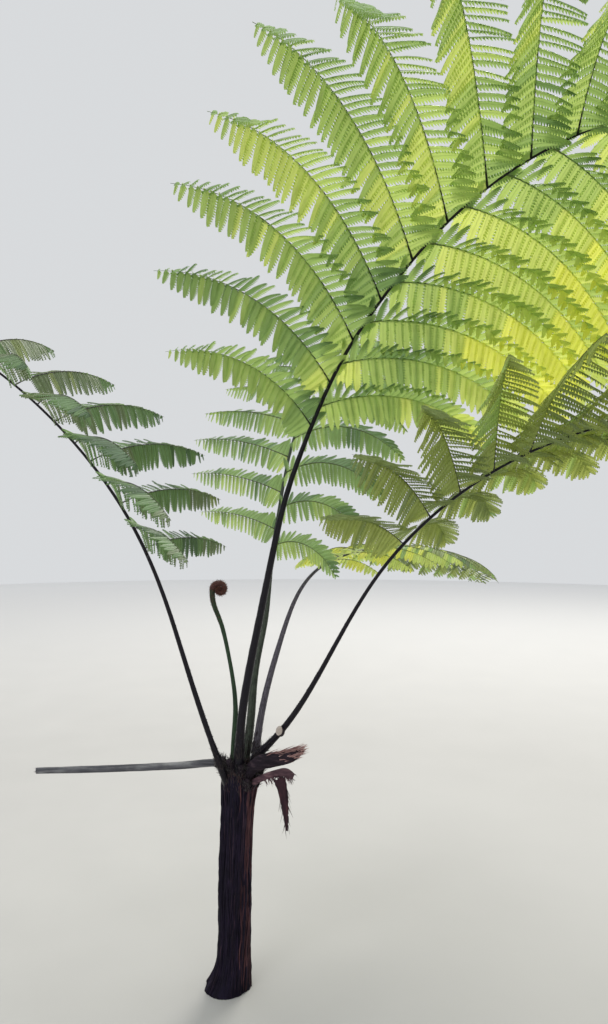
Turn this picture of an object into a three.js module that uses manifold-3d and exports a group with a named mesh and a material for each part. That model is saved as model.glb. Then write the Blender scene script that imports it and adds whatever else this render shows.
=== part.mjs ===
// A young tree fern: a short fibrous trunk on a flared foot, five arching fronds, one coiled young frond
// and the remains of old leaves round the crown.
// Millimetres, +Z up. The origin is on the flat cut under the trunk, at ground level.
//
// Every frond follows one rule: its midrib is a curve given by a few headings and slopes along its length,
// and its leaflets leave that curve at a stated angle, lift and droop. Each half of a blade is a thin comb:
// a narrow rib beside the midrib with one tapering finger for each leaflet, so the gaps between leaflets are open.

import * as THREE from 'three';
import Module from 'manifold-3d';
import { mergeVertices } from 'three/addons/utils/BufferGeometryUtils.js';

const wasm = await Module();
wasm.setup();

// ---------------------------------------------------------------- driving dimensions

const GAP = 0.35;              // clearance between neighbouring solids
const TRUNK_HEIGHT = 648;      // ground to the top of the crown
const TRUNK_SIDES = 20;
// height, centre offset along X, radius
const TRUNK_PROFILE = [
  [0, -16, 69], [14, -14, 63], [40, -10, 55], [85, -5, 47.5], [140, -2, 45], [210, 0, 46], [290, 1.5, 46.5],
  [370, 3.5, 45.5], [450, 6, 45.5], [520, 9, 48], [565, 12.5, 53], [600, 15, 55], [624, 16, 51], [640, 16.5, 37],
];

const STALK_SIDES = 8;
const RACHIS_SIDES = 6;
const RIB_WIDTH = 15;          // narrow rib beside the midrib that carries the leaflets
const BLADE_THICK = 5.5;       // thickness of a blade comb at the midrib
const TIP_THICK = 2.4;         // and at a leaflet's tip
const FINGER_SHAPE = [0.70, 1.0, 1.0, 0.86, 0.55, 0.06]; // width of a leaflet along its length
const LENGTH_SHAPE = [0.70, 0.95, 1.0, 0.92, 0.84, 0.72, 0.53, 0.31, 0.10]; // leaflet length along the blade

// heading and slope in degrees, at equal steps along the midrib; side 0 is to the left of the heading, side 1 to the right
const FRONDS = [
  { name: 'frond_main', base: [15.6, -47, 674], root: [14, -34, 598], length: 2550,
    heading: [-26.7, -28.4, -30.1], slope: [88.3, 78.7, 76.9, 76.4, 67.4, 62.2, 50.7, 43.2, 29.7, 14.1, 0.3, -20.2, -40.3],
    radius: [12.5, 10.9, 8.6, 6.0, 4.3, 3.4, 2.7, 2.0, 1.0], swell: 2.5, bare: 0.37, step: 0.0785,
    leaflet: 740, shape: [[0.70, 0.95, 1.03, 1.03, 0.98, 0.84, 0.60, 0.34, 0.10], [0.70, 0.95, 1.10, 1.14, 1.11, 0.94, 0.66, 0.35, 0.10]], roll: -10, forward: [38, 31.7, 25.3, 25, 28],
    lift: [[-10, -10, -6, 0, 0], [19, 19, 16, 8, 4]], droop: [62, 60], cuts: [0.36, 0.66], color: 0x6f9a2c },
  { name: 'frond_left', base: [-35, -47, 645], root: [-19, -22, 584], length: 2250,
    heading: [192.7, 194.4, 196.1], slope: [70, 72.2, 54, 33.1, 0.9, -35.7],
    radius: [9.0, 7.4, 5.8, 4.5, 3.6, 3.0, 2.5, 1.8, 1.0], swell: 2.5, bare: 0.285, step: 0.088,
    leaflet: 640, roll: -3, forward: [-1, -7, -4, 10, 20],
    lift: [[22, 22, 18, 12, 6], [47, 46, 34, 18, 8]], droop: [36, 40], reach: [0.76, 0.79], cuts: [0.36, 0.66], color: 0x4d7a2a },
  { name: 'frond_right', base: [60, -14, 668], root: [36, -8, 598], length: 2100,
    heading: [-25.0, -21.5, -17.6], slope: [40.9, 58, 58.8, 45.5, 31.4, 16.3, 5.1, -10.4, -29.2],
    radius: [10.5, 7.6, 5.6, 4.5, 3.7, 3.0, 2.4, 1.8, 1.0], swell: 3, bare: 0.356, step: 0.075,
    leaflet: 570, roll: -2, forward: [12, 30, 42, 40, 38],
    lift: [[19, 19, 14, 8, 4], [26, 24, 17, 8, 4]], droop: [59, 34], reach: [0.93, 1], cuts: [0.36, 0.66], color: 0x6d8436 },
  { name: 'frond_back', base: [28, 32, 658], root: [26, 24, 598], length: 1950,
    heading: [45, 46, 58, 72], slope: [74.5, 84.5, 73.2, 83.3, 77.6, 75.8, 65.6, 53, 39.2, 23.6, 7.4, -9.4, -26.4],
    radius: [13.2, 10.6, 7.6, 5.3, 4.0, 3.2, 2.5, 1.8, 1.0], swell: 1.5, bare: 0.31, step: 0.086,
    leaflet: 440, roll: 0, forward: [20, 20, 20, 22, 26],
    lift: [[7, 8, 8, 6, 4], [11, 10, 8, 6, 4]], droop: [24, 70], cuts: [0.45], color: 0x6f9433 },
  { name: 'frond_side', base: [58.7, 16, 664], root: [42, 10, 600], length: 1550,
    heading: [40, 41, 42], slope: [82.9, 70.5, 61.2, 17.2, 3.4, -8.3, -16.7, -29.9],
    radius: [10.8, 9.2, 7.0, 4.8, 3.6, 2.9, 2.3, 1.7, 0.9], swell: 2, bare: 0.42, step: 0.092,
    leaflet: 370, roll: 0, forward: [12, 18, 22, 24, 26],
    lift: [[10, 10, 8, 6, 4], [10, 10, 8, 6, 4]], droop: [45, 45], reach: [1, 0.72], cuts: [0.45], color: 0x8f9c30 },
];

const CROZIER = { base: [-6, -5, 636], root: [-6, -5, 596], length: 520, heading: [180, 180],
  slope: [92, 93, 93, 86, 81, 79, 76, 68, 94], radius: [9.5, 9, 8, 7, 6.3, 6, 6.4, 7.2, 8.4], turns: 1.2, coilRadius: 21.5, inner: 4.8, tube: [8.4, 4.6] };

// old leaf remains: axis points, half size upwards and sideways at each point; one stub grows from the side of a stalk
const OLD_PARTS = [
  { name: 'old_leaf_base_right', sides: 10, color: 0x3a2119,
    axis: [[38, -36, 622], [68, -60, 660], [118, -88, 682], [164, -115, 699], [198, -130, 721]], across: [16, 19, 19, 16, 5], through: [14, 15, 14, 10, 3] },
  { name: 'old_leaf_flap_right', sides: 6, color: 0x6b3b31,
    axis: [[54, -50, 604], [86, -78, 628], [118, -99, 645], [150, -112, 653], [172, -118, 645]], across: [8, 9, 10, 11, 7], through: [4, 3.4, 3, 2.6, 2] },
  { name: 'old_leaf_strip_right', sides: 6, color: 0x4a2018,
    axis: [[132, -108, 634], [139, -112, 610], [146, -115, 575], [150, -114, 532], [153, -112, 492]], across: [2.4, 2.6, 2.6, 2.2, 1.4], through: [16, 14, 11, 7, 3] },
  { name: 'old_leaf_stub_front', sides: 10, color: 0x4a3a2a, beside: 'frond_right',
    axis: [[137, -57, 749], [133, -66, 754], [129, -76, 759]], across: [13, 13.5, 13], through: [9.5, 9.5, 9] },
  { name: 'old_stalk_left', sides: 8, color: 0x6e6a64,
    axis: [[-2, 20, 630], [-60, 25, 637], [-150, 29, 629], [-300, 32, 620], [-450, 35, 614], [-588, 37, 610]], across: [11.5, 11.5, 11, 10.5, 10, 9], through: [11.5, 11.5, 11, 10.5, 10, 9] },
];

// ---------------------------------------------------------------- curves

const RAD = Math.PI / 180;
const vec = (a) => new THREE.Vector3(a[0], a[1], a[2]);

// value at share u of an evenly spaced list, on a smooth curve through all of it
function along(list, u) {
  const n = list.length - 1;
  if (n === 0) return list[0];
  const x = Math.min(Math.max(u, 0), 1) * n;
  const i = Math.min(Math.floor(x), n - 1);
  const t = x - i;
  const b = list[i], c = list[i + 1];
  const a = i > 0 ? list[i - 1] : 2 * b - c;
  const d = i + 2 <= n ? list[i + 2] : 2 * c - b;
  return 0.5 * (2 * b + (c - a) * t + (2 * a - 5 * b + 4 * c - d) * t * t + (3 * b - a - 3 * c + d) * t * t * t);
}

function heading(azimuth, elevation) {
  return new THREE.Vector3(Math.cos(elevation) * Math.cos(azimuth), Math.cos(elevation) * Math.sin(azimuth), Math.sin(elevation));
}

// midrib as a table of points, walked along its heading and slope
const STEPS = 120;
function walk(f) {
  const points = [vec(f.base)];
  for (let k = 0; k < STEPS; k++) {
    const u = (k + 0.5) / STEPS;
    const d = heading(along(f.heading, u) * RAD, along(f.slope, u) * RAD);
    points.push(points[k].clone().addScaledVector(d, f.length / STEPS));
  }
  return points;
}

function at(points, u) {
  const x = Math.min(Math.max(u, 0), 1) * STEPS;
  const i = Math.min(Math.floor(x), STEPS - 1);
  return points[i].clone().lerp(points[i + 1], x - i);
}

// directions at share u of a midrib: along it, to the left of it, and up from the blade
function axes(f, u) {
  const a = along(f.heading, u) * RAD, e = along(f.slope, u) * RAD, r = (f.roll || 0) * RAD;
  const T = heading(a, e);
  const S = new THREE.Vector3(-Math.sin(a), Math.cos(a), 0);
  const N = T.clone().cross(S);
  return { T, S: S.clone().multiplyScalar(Math.cos(r)).addScaledVector(N, Math.sin(r)), N: N.clone().multiplyScalar(Math.cos(r)).addScaledVector(S, -Math.sin(r)) };
}

// first direction of a leaflet at blade share x
function leafletDirection(f, u, x, side) {
  const { T, S, N } = axes(f, u);
  const fw = along(f.forward, x) * RAD, li = along(f.lift[side], x) * RAD, s = side === 0 ? 1 : -1;
  return S.clone().multiplyScalar(Math.cos(li) * Math.cos(fw) * s)
    .addScaledVector(T, Math.cos(li) * Math.sin(fw)).addScaledVector(N, Math.sin(li)).normalize();
}

// where the leaflets of one side sit, as shares of the blade; the two sides alternate
function leafletPlaces(f, side) {
  const places = [];
  let x = 0.012 + (side === 0 ? 0.45 : 0) * f.step;
  while (x < 0.95) {
    places.push(x);
    x += f.step * (1 - 0.8 * x * x * x);
  }
  return places;
}

// ---------------------------------------------------------------- closed meshes

function closed(vertices, faces) {
  let volume = 0;
  const [a, b, c] = [new THREE.Vector3(), new THREE.Vector3(), new THREE.Vector3()];
  for (let i = 0; i < faces.length; i += 3) {
    a.copy(vertices[faces[i]]); b.copy(vertices[faces[i + 1]]); c.copy(vertices[faces[i + 2]]);
    volume += a.dot(b.cross(c));
  }
  if (volume < 0) for (let i = 0; i < faces.length; i += 3) [faces[i + 1], faces[i + 2]] = [faces[i + 2], faces[i + 1]];
  const g = new THREE.BufferGeometry();
  g.setAttribute('position', new THREE.Float32BufferAttribute(vertices.flatMap((p) => [p.x, p.y, p.z]), 3));
  g.setIndex(faces);
  return g;
}

// skin over a row of rings, closed by a fan at each end
function loft(rings) {
  const n = rings[0].length, vertices = rings.flat(), faces = [];
  for (let k = 0; k + 1 < rings.length; k++) {
    for (let j = 0; j < n; j++) {
      const a = k * n + j, b = k * n + (j + 1) % n, c = a + n, d = b + n;
      faces.push(a, b, d, a, d, c);
    }
  }
  for (const [k, flip] of [[0, true], [rings.length - 1, false]]) {
    const centre = rings[k].reduce((s, p) => s.add(p), new THREE.Vector3()).divideScalar(n);
    const m = vertices.length;
    vertices.push(centre);
    for (let j = 0; j < n; j++) {
      const a = k * n + j, b = k * n + (j + 1) % n;
      if (flip) faces.push(m, b, a); else faces.push(m, a, b);
    }
  }
  return closed(vertices, faces);
}

// tube along a row of points, with a radius for each; a flat section takes a second radius
function tube(points, radii, sides, through = radii, tangents = []) {
  const rings = [];
  let side = null;
  for (let k = 0; k < points.length; k++) {
    const T = tangents[k] || points[Math.min(k + 1, points.length - 1)].clone().sub(points[Math.max(k - 1, 0)]).normalize();
    if (side === null) {
      const hint = Math.abs(T.z) > 0.9 ? new THREE.Vector3(0, 1, 0) : new THREE.Vector3(0, 0, 1);
      side = hint.clone().cross(T).normalize();
    }
    side.addScaledVector(T, -side.dot(T)).normalize();
    const up = T.clone().cross(side);
    rings.push(Array.from({ length: sides }, (_, j) => {
      const q = (2 * Math.PI * (j + 0.5)) / sides;
      return points[k].clone().addScaledVector(up, Math.cos(q) * radii[k]).addScaledVector(side, Math.sin(q) * through[k]);
    }));
  }
  return loft(rings);
}

// ---------------------------------------------------------------- joins and cuts

function toSolid(geometry) {
  const g = mergeVertices(geometry.clone(), 1e-4);
  return new wasm.Manifold(new wasm.Mesh({ numProp: 3, vertProperties: new Float32Array(g.attributes.position.array), triVerts: new Uint32Array(g.index.array) }));
}

function fromSolid(solid) {
  const m = solid.getMesh();
  const g = new THREE.BufferGeometry();
  g.setAttribute('position', new THREE.BufferAttribute(new Float32Array(m.vertProperties), 3));
  g.setIndex(Array.from(m.triVerts));
  return g;
}

// ---------------------------------------------------------------- the plant

const plant = new THREE.Group();

function add(name, geometry, color, roughness = 0.8) {
  geometry.computeVertexNormals();
  const mesh = new THREE.Mesh(geometry, new THREE.MeshStandardMaterial({ color, roughness, metalness: 0 }));
  mesh.name = name;
  plant.add(mesh);
}

// trunk: flared foot, slight waist, swollen crown, lobed a little by old leaf bases
function trunkGeometry(grow) {
  const rings = TRUNK_PROFILE.map(([z, cx, r], k) => Array.from({ length: TRUNK_SIDES }, (_, j) => {
    const q = (2 * Math.PI * (j + 0.5)) / TRUNK_SIDES;
    const lobes = 1 + 0.035 * Math.cos(3 * q + z / 130) + 0.02 * Math.cos(5 * q - z / 90);
    const foot = z < 60 ? 1 + 0.10 * (1 - z / 60) * Math.cos(q - Math.PI * 1.1) : 1;
    const R = r * lobes * foot + grow;
    return new THREE.Vector3(cx + R * Math.cos(q), R * Math.sin(q), k === 0 ? -grow : z + (k === TRUNK_PROFILE.length - 1 ? grow : 0));
  }));
  const g = loft(rings);
  const top = g.attributes.position;   // raise the middle of the crown into a low dome
  top.setZ(top.count - 1, TRUNK_HEIGHT + grow);
  return g;
}
add('trunk', trunkGeometry(0), 0x2b1a1a, 0.95);
const trunkCutter = toSolid(trunkGeometry(GAP));
const outside = (geometry) => fromSolid(toSolid(geometry).subtract(trunkCutter));

function midribRadius(f, u) {
  const swell = f.swell * Math.exp(-Math.pow((u * f.length) / 45, 2));
  return along(f.radius, u) + swell;
}

function midribTube(f, points, from, to, pieces, sides, root, grow = 0) {
  const path = [], radii = [], tangents = [];
  if (root) { path.push(vec(f.root)); radii.push(midribRadius(f, 0) * 0.9 + grow); tangents.push(null); }
  for (let k = 0; k <= pieces; k++) {
    const share = root ? Math.pow(k / pieces, 1.35) : k / pieces;
    const u = from + (to - from) * share;
    path.push(at(points, u)); radii.push(midribRadius(f, u) + grow); tangents.push(root && k < 2 ? null : axes(f, u).T);
  }
  return tube(path, radii, sides, radii, tangents);
}

// one half of a blade between two leaflets, as a comb
function comb(f, points, side, list) {
  const vertices = [], faces = [], L = f.length;
  const quad = (a, b, c, d) => faces.push(a, b, c, a, c, d);
  const share = (x) => f.bare + (1 - f.bare) * x;
  const section = (u, x) => {
    const { T } = axes(f, u);
    const D = leafletDirection(f, u, x, side);
    const Dp = D.clone().addScaledVector(T, -D.dot(T)).normalize();
    const n = T.clone().cross(Dp);
    const r = midribRadius(f, u), P = at(points, u), h = BLADE_THICK / 2 * Math.min(1, 0.45 + r / 9);
    const w = Math.min(RIB_WIDTH, RIB_WIDTH * (0.35 + f.leaflet * along(LENGTH_SHAPE, x) / 600));
    const base = vertices.length;
    for (const [d, s] of [[r + GAP + 0.25, 1], [r + GAP + 0.25, -1], [r + w, 1], [r + w, -1]]) {
      vertices.push(P.clone().addScaledVector(Dp, d).addScaledVector(n, s * h));
    }
    return { it: base, ib: base + 1, ot: base + 2, ob: base + 3, h };
  };
  const stations = [];
  list.forEach((x, i) => {
    const spacing = f.step * (1 - 0.8 * x * x * x) * (1 - f.bare) * L;
    const half = 0.30 * spacing / L / (1 - f.bare);
    const a = section(share(x - half), x - half), b = section(share(x + half), x + half);
    stations.push(a, b);
    // the finger
    const u = share(x), len = f.leaflet * along(f.shape ? f.shape[side] : LENGTH_SHAPE, x) * (f.reach ? f.reach[side] : 1), { T } = axes(f, u);
    const D0 = leafletDirection(f, u, x, side);
    const az = Math.atan2(D0.y, D0.x), el = Math.asin(Math.max(-1, Math.min(1, D0.z)));
    const forward = Math.abs(D0.dot(T));
    const width = 0.84 * spacing * Math.sqrt(1 - forward * forward);
    const segments = len > 420 ? 4 : len > 200 ? 3 : 2;
    const fine = 24;
    const p = at(points, u);
    let ring = [a.ot, b.ot, b.ob, a.ob];
    let next = 1;
    for (let k = 0; k < fine; k++) {
      const t = (k + 0.5) / fine;
      p.addScaledVector(heading(az, el - f.droop[side] * RAD * t), len / fine);
      if ((k + 1) * segments >= next * fine) {
        const te = (k + 1) / fine, D = heading(az, el - f.droop[side] * RAD * te);
        const W = T.clone().addScaledVector(D, -T.dot(D)).normalize();
        const n = W.clone().cross(D);
        const w = Math.max(width * along(FINGER_SHAPE, te), 5) / 2;
        const h = a.h + (TIP_THICK / 2 - a.h) * te;
        const base = vertices.length;
        for (const [s, q] of [[-1, 1], [1, 1], [1, -1], [-1, -1]]) vertices.push(p.clone().addScaledVector(W, s * w).addScaledVector(n, q * h));
        const r2 = [base, base + 1, base + 2, base + 3];
        for (let j = 0; j < 4; j++) quad(ring[j], ring[(j + 1) % 4], r2[(j + 1) % 4], r2[j]);
        ring = r2;
        next++;
      }
    }
    quad(ring[0], ring[1], ring[2], ring[3]);
  });
  for (let k = 0; k + 1 < stations.length; k++) {
    const a = stations[k], b = stations[k + 1];
    quad(a.it, b.it, b.ot, a.ot);
    quad(a.ib, a.ob, b.ob, b.ib);
    quad(b.it, a.it, a.ib, b.ib);
    if (k % 2 === 1) quad(a.ot, b.ot, b.ob, a.ob);
  }
  const s = stations[0], e = stations[stations.length - 1];
  quad(s.it, s.ot, s.ob, s.ib);
  quad(e.it, e.ib, e.ob, e.ot);
  return closed(vertices, faces);
}

const STALK_COLORS = { frond_main: 0x17111a, frond_left: 0x17111a, frond_right: 0x1a131b, frond_back: 0x4c5a38, frond_side: 0x57495a };
const SECTIONS = { 1: ['low', 'tip'], 2: ['low', 'mid', 'tip'] };
for (const f of FRONDS) {
  const points = walk(f);
  const bend = f.bare + (1 - f.bare) * 0.42;
  const gap = GAP / f.length;
  add(`${f.name}_stalk`, outside(midribTube(f, points, 0, f.bare, 9, STALK_SIDES, true)), STALK_COLORS[f.name], 0.45);
  add(`${f.name}_rachis_low`, midribTube(f, points, f.bare + gap, bend, 7, RACHIS_SIDES, false), STALK_COLORS[f.name], 0.45);
  add(`${f.name}_rachis_tip`, midribTube(f, points, bend + gap, 1, 9, RACHIS_SIDES, false), STALK_COLORS[f.name], 0.45);
  const edges = [0, ...f.cuts, 1.01];
  for (const side of [0, 1]) {
    const places = leafletPlaces(f, side);
    SECTIONS[f.cuts.length].forEach((label, k) => {
      const list = places.filter((x) => x >= edges[k] && x < edges[k + 1]);
      add(`${f.name}_blade_${side === 0 ? 'a' : 'b'}_${label}`, comb(f, points, side, list), f.color, 0.7);
    });
  }
}

// the young frond: a stalk that ends in a flat coil
{
  const c = CROZIER, points = walk({ ...c, roll: 0 });
  const path = [vec(c.root)], radii = [along(c.radius, 0)], tangents = [null];
  for (let k = 0; k <= 10; k++) {
    path.push(at(points, k / 10)); radii.push(along(c.radius, k / 10)); tangents.push(k < 10 ? null : new THREE.Vector3(0, 0, 1));
  }
  add('young_frond_stalk', outside(tube(path, radii, STALK_SIDES, radii, tangents)), 0x4d5a2c, 0.55);
  const end = points[STEPS], centre = end.clone().add(new THREE.Vector3(c.coilRadius, 0, GAP * 2));
  const coil = [], width = [], turned = [new THREE.Vector3(0, 0, 1)], steps = 24;
  for (let k = 0; k <= steps; k++) {
    const t = k / steps, q = Math.PI - 2 * Math.PI * c.turns * t;
    const r = c.inner + (c.coilRadius - c.inner) * (1 - t);
    coil.push(centre.clone().add(new THREE.Vector3(r * Math.cos(q), 0, r * Math.sin(q))));
    width.push(c.tube[0] + (c.tube[1] - c.tube[0]) * t);
  }
  add('young_frond_coil', tube(coil, width, RACHIS_SIDES, width, turned), 0x6e2f1c, 0.85);
}

// old leaf remains round the crown
for (const part of OLD_PARTS) {
  const curve = new THREE.CatmullRomCurve3(part.axis.map(vec));
  const pieces = (part.axis.length - 1) * 2, path = [], across = [], through = [];
  for (let k = 0; k <= pieces; k++) {
    const u = k / pieces;
    path.push(curve.getPoint(u)); across.push(along(part.across, u)); through.push(along(part.through, u));
  }
  let shape = outside(tube(path, across, part.sides, through));
  if (part.beside) {
    const f = FRONDS.find((frond) => frond.name === part.beside);
    shape = fromSolid(toSolid(shape).subtract(toSolid(midribTube(f, walk(f), 0, f.bare, 9, STALK_SIDES, true, GAP * 1.5))));
  }
  add(part.name, shape, part.color, 0.9);
}

export default plant;
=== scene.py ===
# A young tree fern, built round the imported frame: metres, +Z up, the origin on the ground under the trunk.
# Every frond repeats the frame's own rule: a midrib from headings and slopes, and leaflets at a stated angle,
# Each leaflet is a thin rib with two rows of lobed blades. Plain colours are dealt out by spray; they are lit and
# shaded copies of one leaf green, so light and shade are painted into the leaves.

import math

import bpy
import numpy as np
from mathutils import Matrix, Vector


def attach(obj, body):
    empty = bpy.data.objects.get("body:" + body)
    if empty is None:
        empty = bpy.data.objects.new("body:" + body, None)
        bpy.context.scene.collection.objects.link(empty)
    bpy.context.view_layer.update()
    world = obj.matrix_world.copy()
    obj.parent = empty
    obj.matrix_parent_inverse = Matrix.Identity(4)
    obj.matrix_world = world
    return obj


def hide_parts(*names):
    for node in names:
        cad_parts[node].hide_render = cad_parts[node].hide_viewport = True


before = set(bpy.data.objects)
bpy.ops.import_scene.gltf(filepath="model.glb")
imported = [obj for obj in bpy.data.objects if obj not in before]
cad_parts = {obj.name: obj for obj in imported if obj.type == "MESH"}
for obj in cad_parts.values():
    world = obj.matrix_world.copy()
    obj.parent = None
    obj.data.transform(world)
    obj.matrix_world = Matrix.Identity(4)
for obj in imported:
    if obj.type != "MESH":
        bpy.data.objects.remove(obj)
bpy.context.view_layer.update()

rng = np.random.default_rng(4117)
MM = 0.001
RAD = math.pi / 180

# ------------------------------------------------------------------ the frame's own sizes, in millimetres and degrees

LENGTH_SHAPE = [0.70, 0.95, 1.0, 0.92, 0.84, 0.72, 0.53, 0.31, 0.10]
TRUNK_PROFILE = [
    (0, -16, 69), (14, -14, 63), (40, -10, 55), (85, -5, 47.5), (140, -2, 45), (210, 0, 46), (290, 1.5, 46.5),
    (370, 3.5, 45.5), (450, 6, 45.5), (520, 9, 48), (565, 12.5, 53), (600, 15, 55), (624, 16, 51), (640, 16.5, 37),
]
TRUNK_HEIGHT = 648

FRONDS = [
    dict(name="frond_main", base=(15.6, -47, 674), root=(14, -34, 598), length=2550,
         heading=(-26.7, -28.4, -30.1), slope=(88.3, 78.7, 76.9, 76.4, 67.4, 62.2, 50.7, 43.2, 29.7, 14.1, 0.3, -20.2, -40.3),
         radius=(12.5, 10.9, 8.6, 6.0, 4.3, 3.4, 2.7, 2.0, 1.0), swell=2.5, bare=0.37, step=0.0785,
         leaflet=740, shape=([0.70, 0.95, 1.03, 1.03, 0.98, 0.84, 0.60, 0.34, 0.10], [0.70, 0.95, 1.10, 1.14, 1.11, 0.94, 0.66, 0.35, 0.10]), roll=-10, forward=(38, 31.7, 25.3, 25, 28),
         lift=((-10, -10, -6, 0, 0), (19, 19, 16, 8, 4)), droop=(62, 60), reach=(1, 1), parts=("low", "mid", "tip")),
    dict(name="frond_left", base=(-35, -47, 645), root=(-19, -22, 584), length=2250,
         heading=(192.7, 194.4, 196.1), slope=(70, 72.2, 54, 33.1, 0.9, -35.7),
         radius=(9.0, 7.4, 5.8, 4.5, 3.6, 3.0, 2.5, 1.8, 1.0), swell=2.5, bare=0.285, step=0.088,
         leaflet=640, roll=-3, forward=(-1, -7, -4, 10, 20),
         lift=((22, 22, 18, 12, 6), (47, 46, 34, 18, 8)), droop=(36, 40), reach=(0.76, 0.79), parts=("low", "mid", "tip")),
    dict(name="frond_right", base=(60, -14, 668), root=(36, -8, 598), length=2100,
         heading=(-25.0, -21.5, -17.6), slope=(40.9, 58, 58.8, 45.5, 31.4, 16.3, 5.1, -10.4, -29.2),
         radius=(10.5, 7.6, 5.6, 4.5, 3.7, 3.0, 2.4, 1.8, 1.0), swell=3, bare=0.356, step=0.075,
         leaflet=570, roll=-2, forward=(12, 30, 42, 40, 38),
         lift=((19, 19, 14, 8, 4), (26, 24, 17, 8, 4)), droop=(59, 34), reach=(0.93, 1), parts=("low", "mid", "tip")),
    dict(name="frond_back", base=(28, 32, 658), root=(26, 24, 598), length=1950,
         heading=(45, 46, 58, 72), slope=(74.5, 84.5, 73.2, 83.3, 77.6, 75.8, 65.6, 53, 39.2, 23.6, 7.4, -9.4, -26.4),
         radius=(13.2, 10.6, 7.6, 5.3, 4.0, 3.2, 2.5, 1.8, 1.0), swell=1.5, bare=0.31, step=0.086,
         leaflet=440, roll=0, forward=(20, 20, 20, 22, 26),
         lift=((7, 8, 8, 6, 4), (11, 10, 8, 6, 4)), droop=(24, 70), reach=(1, 1), parts=("low", "tip")),
    dict(name="frond_side", base=(58.7, 16, 664), root=(42, 10, 600), length=1550,
         heading=(40, 41, 42), slope=(82.9, 70.5, 61.2, 17.2, 3.4, -8.3, -16.7, -29.9),
         radius=(10.8, 9.2, 7.0, 4.8, 3.6, 2.9, 2.3, 1.7, 0.9), swell=2, bare=0.42, step=0.092,
         leaflet=370, roll=0, forward=(12, 18, 22, 24, 26),
         lift=((10, 10, 8, 6, 4), (10, 10, 8, 6, 4)), droop=(45, 45), reach=(1, 0.72), parts=("low", "tip")),
]

CROZIER = dict(base=(-6, -5, 636), root=(-6, -5, 596), length=520, heading=(180, 180),
               slope=(92, 93, 93, 86, 81, 79, 76, 68, 94), radius=(9.5, 9, 8, 7, 6.3, 6, 6.4, 7.2, 8.4),
               turns=1.2, coil=21.5, inner=4.8, tube=(8.4, 4.6))

# half size upwards (across) and sideways (through) at each point
OLD_PARTS = {
    "old_leaf_base_right": dict(axis=[(38, -36, 622), (68, -60, 660), (118, -88, 682), (164, -115, 699), (198, -130, 721)],
                                across=(16, 19, 19, 16, 5), through=(14, 15, 14, 10, 3)),
    "old_leaf_flap_right": dict(axis=[(54, -50, 604), (86, -78, 628), (118, -99, 645), (150, -112, 653), (172, -118, 645)],
                                across=(8, 9, 10, 11, 7), through=(4, 3.4, 3, 2.6, 2)),
    "old_leaf_strip_right": dict(axis=[(132, -108, 634), (139, -112, 610), (146, -115, 575), (150, -114, 532), (153, -112, 492)],
                                 across=(2.4, 2.6, 2.6, 2.2, 1.4), through=(16, 14, 11, 7, 3)),
    "old_leaf_stub_front": dict(axis=[(137, -57, 749), (133, -66, 754), (129, -76, 759)],
                                across=(13, 13.5, 13), through=(9.5, 9.5, 9)),
    "old_stalk_left": dict(axis=[(-2, 20, 630), (-60, 25, 637), (-150, 29, 629), (-300, 32, 620), (-450, 35, 614), (-588, 37, 610)],
                           across=(11.5, 11.5, 11, 10.5, 10, 9), through=(11.5, 11.5, 11, 10.5, 10, 9)),
}

# ------------------------------------------------------------------ small vector helpers


def unit(v):
    v = np.asarray(v, float)
    return v / np.maximum(np.linalg.norm(v, axis=-1, keepdims=True), 1e-12)


def along(values, u):
    """Value at share u of an evenly spaced list, on a smooth curve through all of it."""
    v = np.asarray(values, float)
    u = np.clip(np.asarray(u, float), 0, 1)
    n = len(v) - 1
    x = u * n
    i = np.minimum(x.astype(int), n - 1)
    t = x - i
    b, c = v[i], v[i + 1]
    a = np.where(i > 0, v[np.maximum(i - 1, 0)], 2 * b - c)
    d = np.where(i + 2 <= n, v[np.minimum(i + 2, n)], 2 * c - b)
    return 0.5 * (2 * b + (c - a) * t + (2 * a - 5 * b + 4 * c - d) * t**2 + (3 * b - a - 3 * c + d) * t**3)


def heading(az, el):
    az, el = np.asarray(az, float), np.asarray(el, float)
    return np.stack([np.cos(el) * np.cos(az), np.cos(el) * np.sin(az), np.sin(el)], -1)


STEPS = 120


def walk(f):
    u = (np.arange(STEPS) + 0.5) / STEPS
    d = heading(along(f["heading"], u) * RAD, along(f["slope"], u) * RAD)
    base = np.array(f["base"], float)
    return np.vstack([base, base + np.cumsum(d * f["length"] / STEPS, axis=0)]) * MM


def at(points, u):
    x = np.clip(np.asarray(u, float), 0, 1) * STEPS
    i = np.minimum(x.astype(int), STEPS - 1)
    t = (x - i)[..., None]
    return points[i] * (1 - t) + points[i + 1] * t


def axes(f, u):
    a, e, r = along(f["heading"], u) * RAD, along(f["slope"], u) * RAD, f.get("roll", 0) * RAD
    T = heading(a, e)
    S = np.stack([-np.sin(a), np.cos(a), 0 * a], -1)
    N = np.cross(T, S)
    return T, S * math.cos(r) + N * math.sin(r), N * math.cos(r) - S * math.sin(r)


def leaflet_direction(f, u, x, side):
    T, S, N = axes(f, u)
    fw, li = along(f["forward"], x) * RAD, along(f["lift"][side], x) * RAD
    s = 1 if side == 0 else -1
    return unit(S * (np.cos(li) * np.cos(fw) * s) + T * (np.cos(li) * np.sin(fw)) + N * np.sin(li))


def leaflet_places(f, side):
    places, x = [], 0.012 + (0.45 * f["step"] if side == 0 else 0)
    while x < 0.985:
        places.append(x)
        x += f["step"] * max(1 - 0.8 * x**3, 0.22)
    return places


def midrib_radius(f, u):
    u = np.asarray(u, float)
    return (along(f["radius"], u) + f["swell"] * np.exp(-((u * f["length"] / 45) ** 2))) * MM


# ------------------------------------------------------------------ smooth noise without any library


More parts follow.
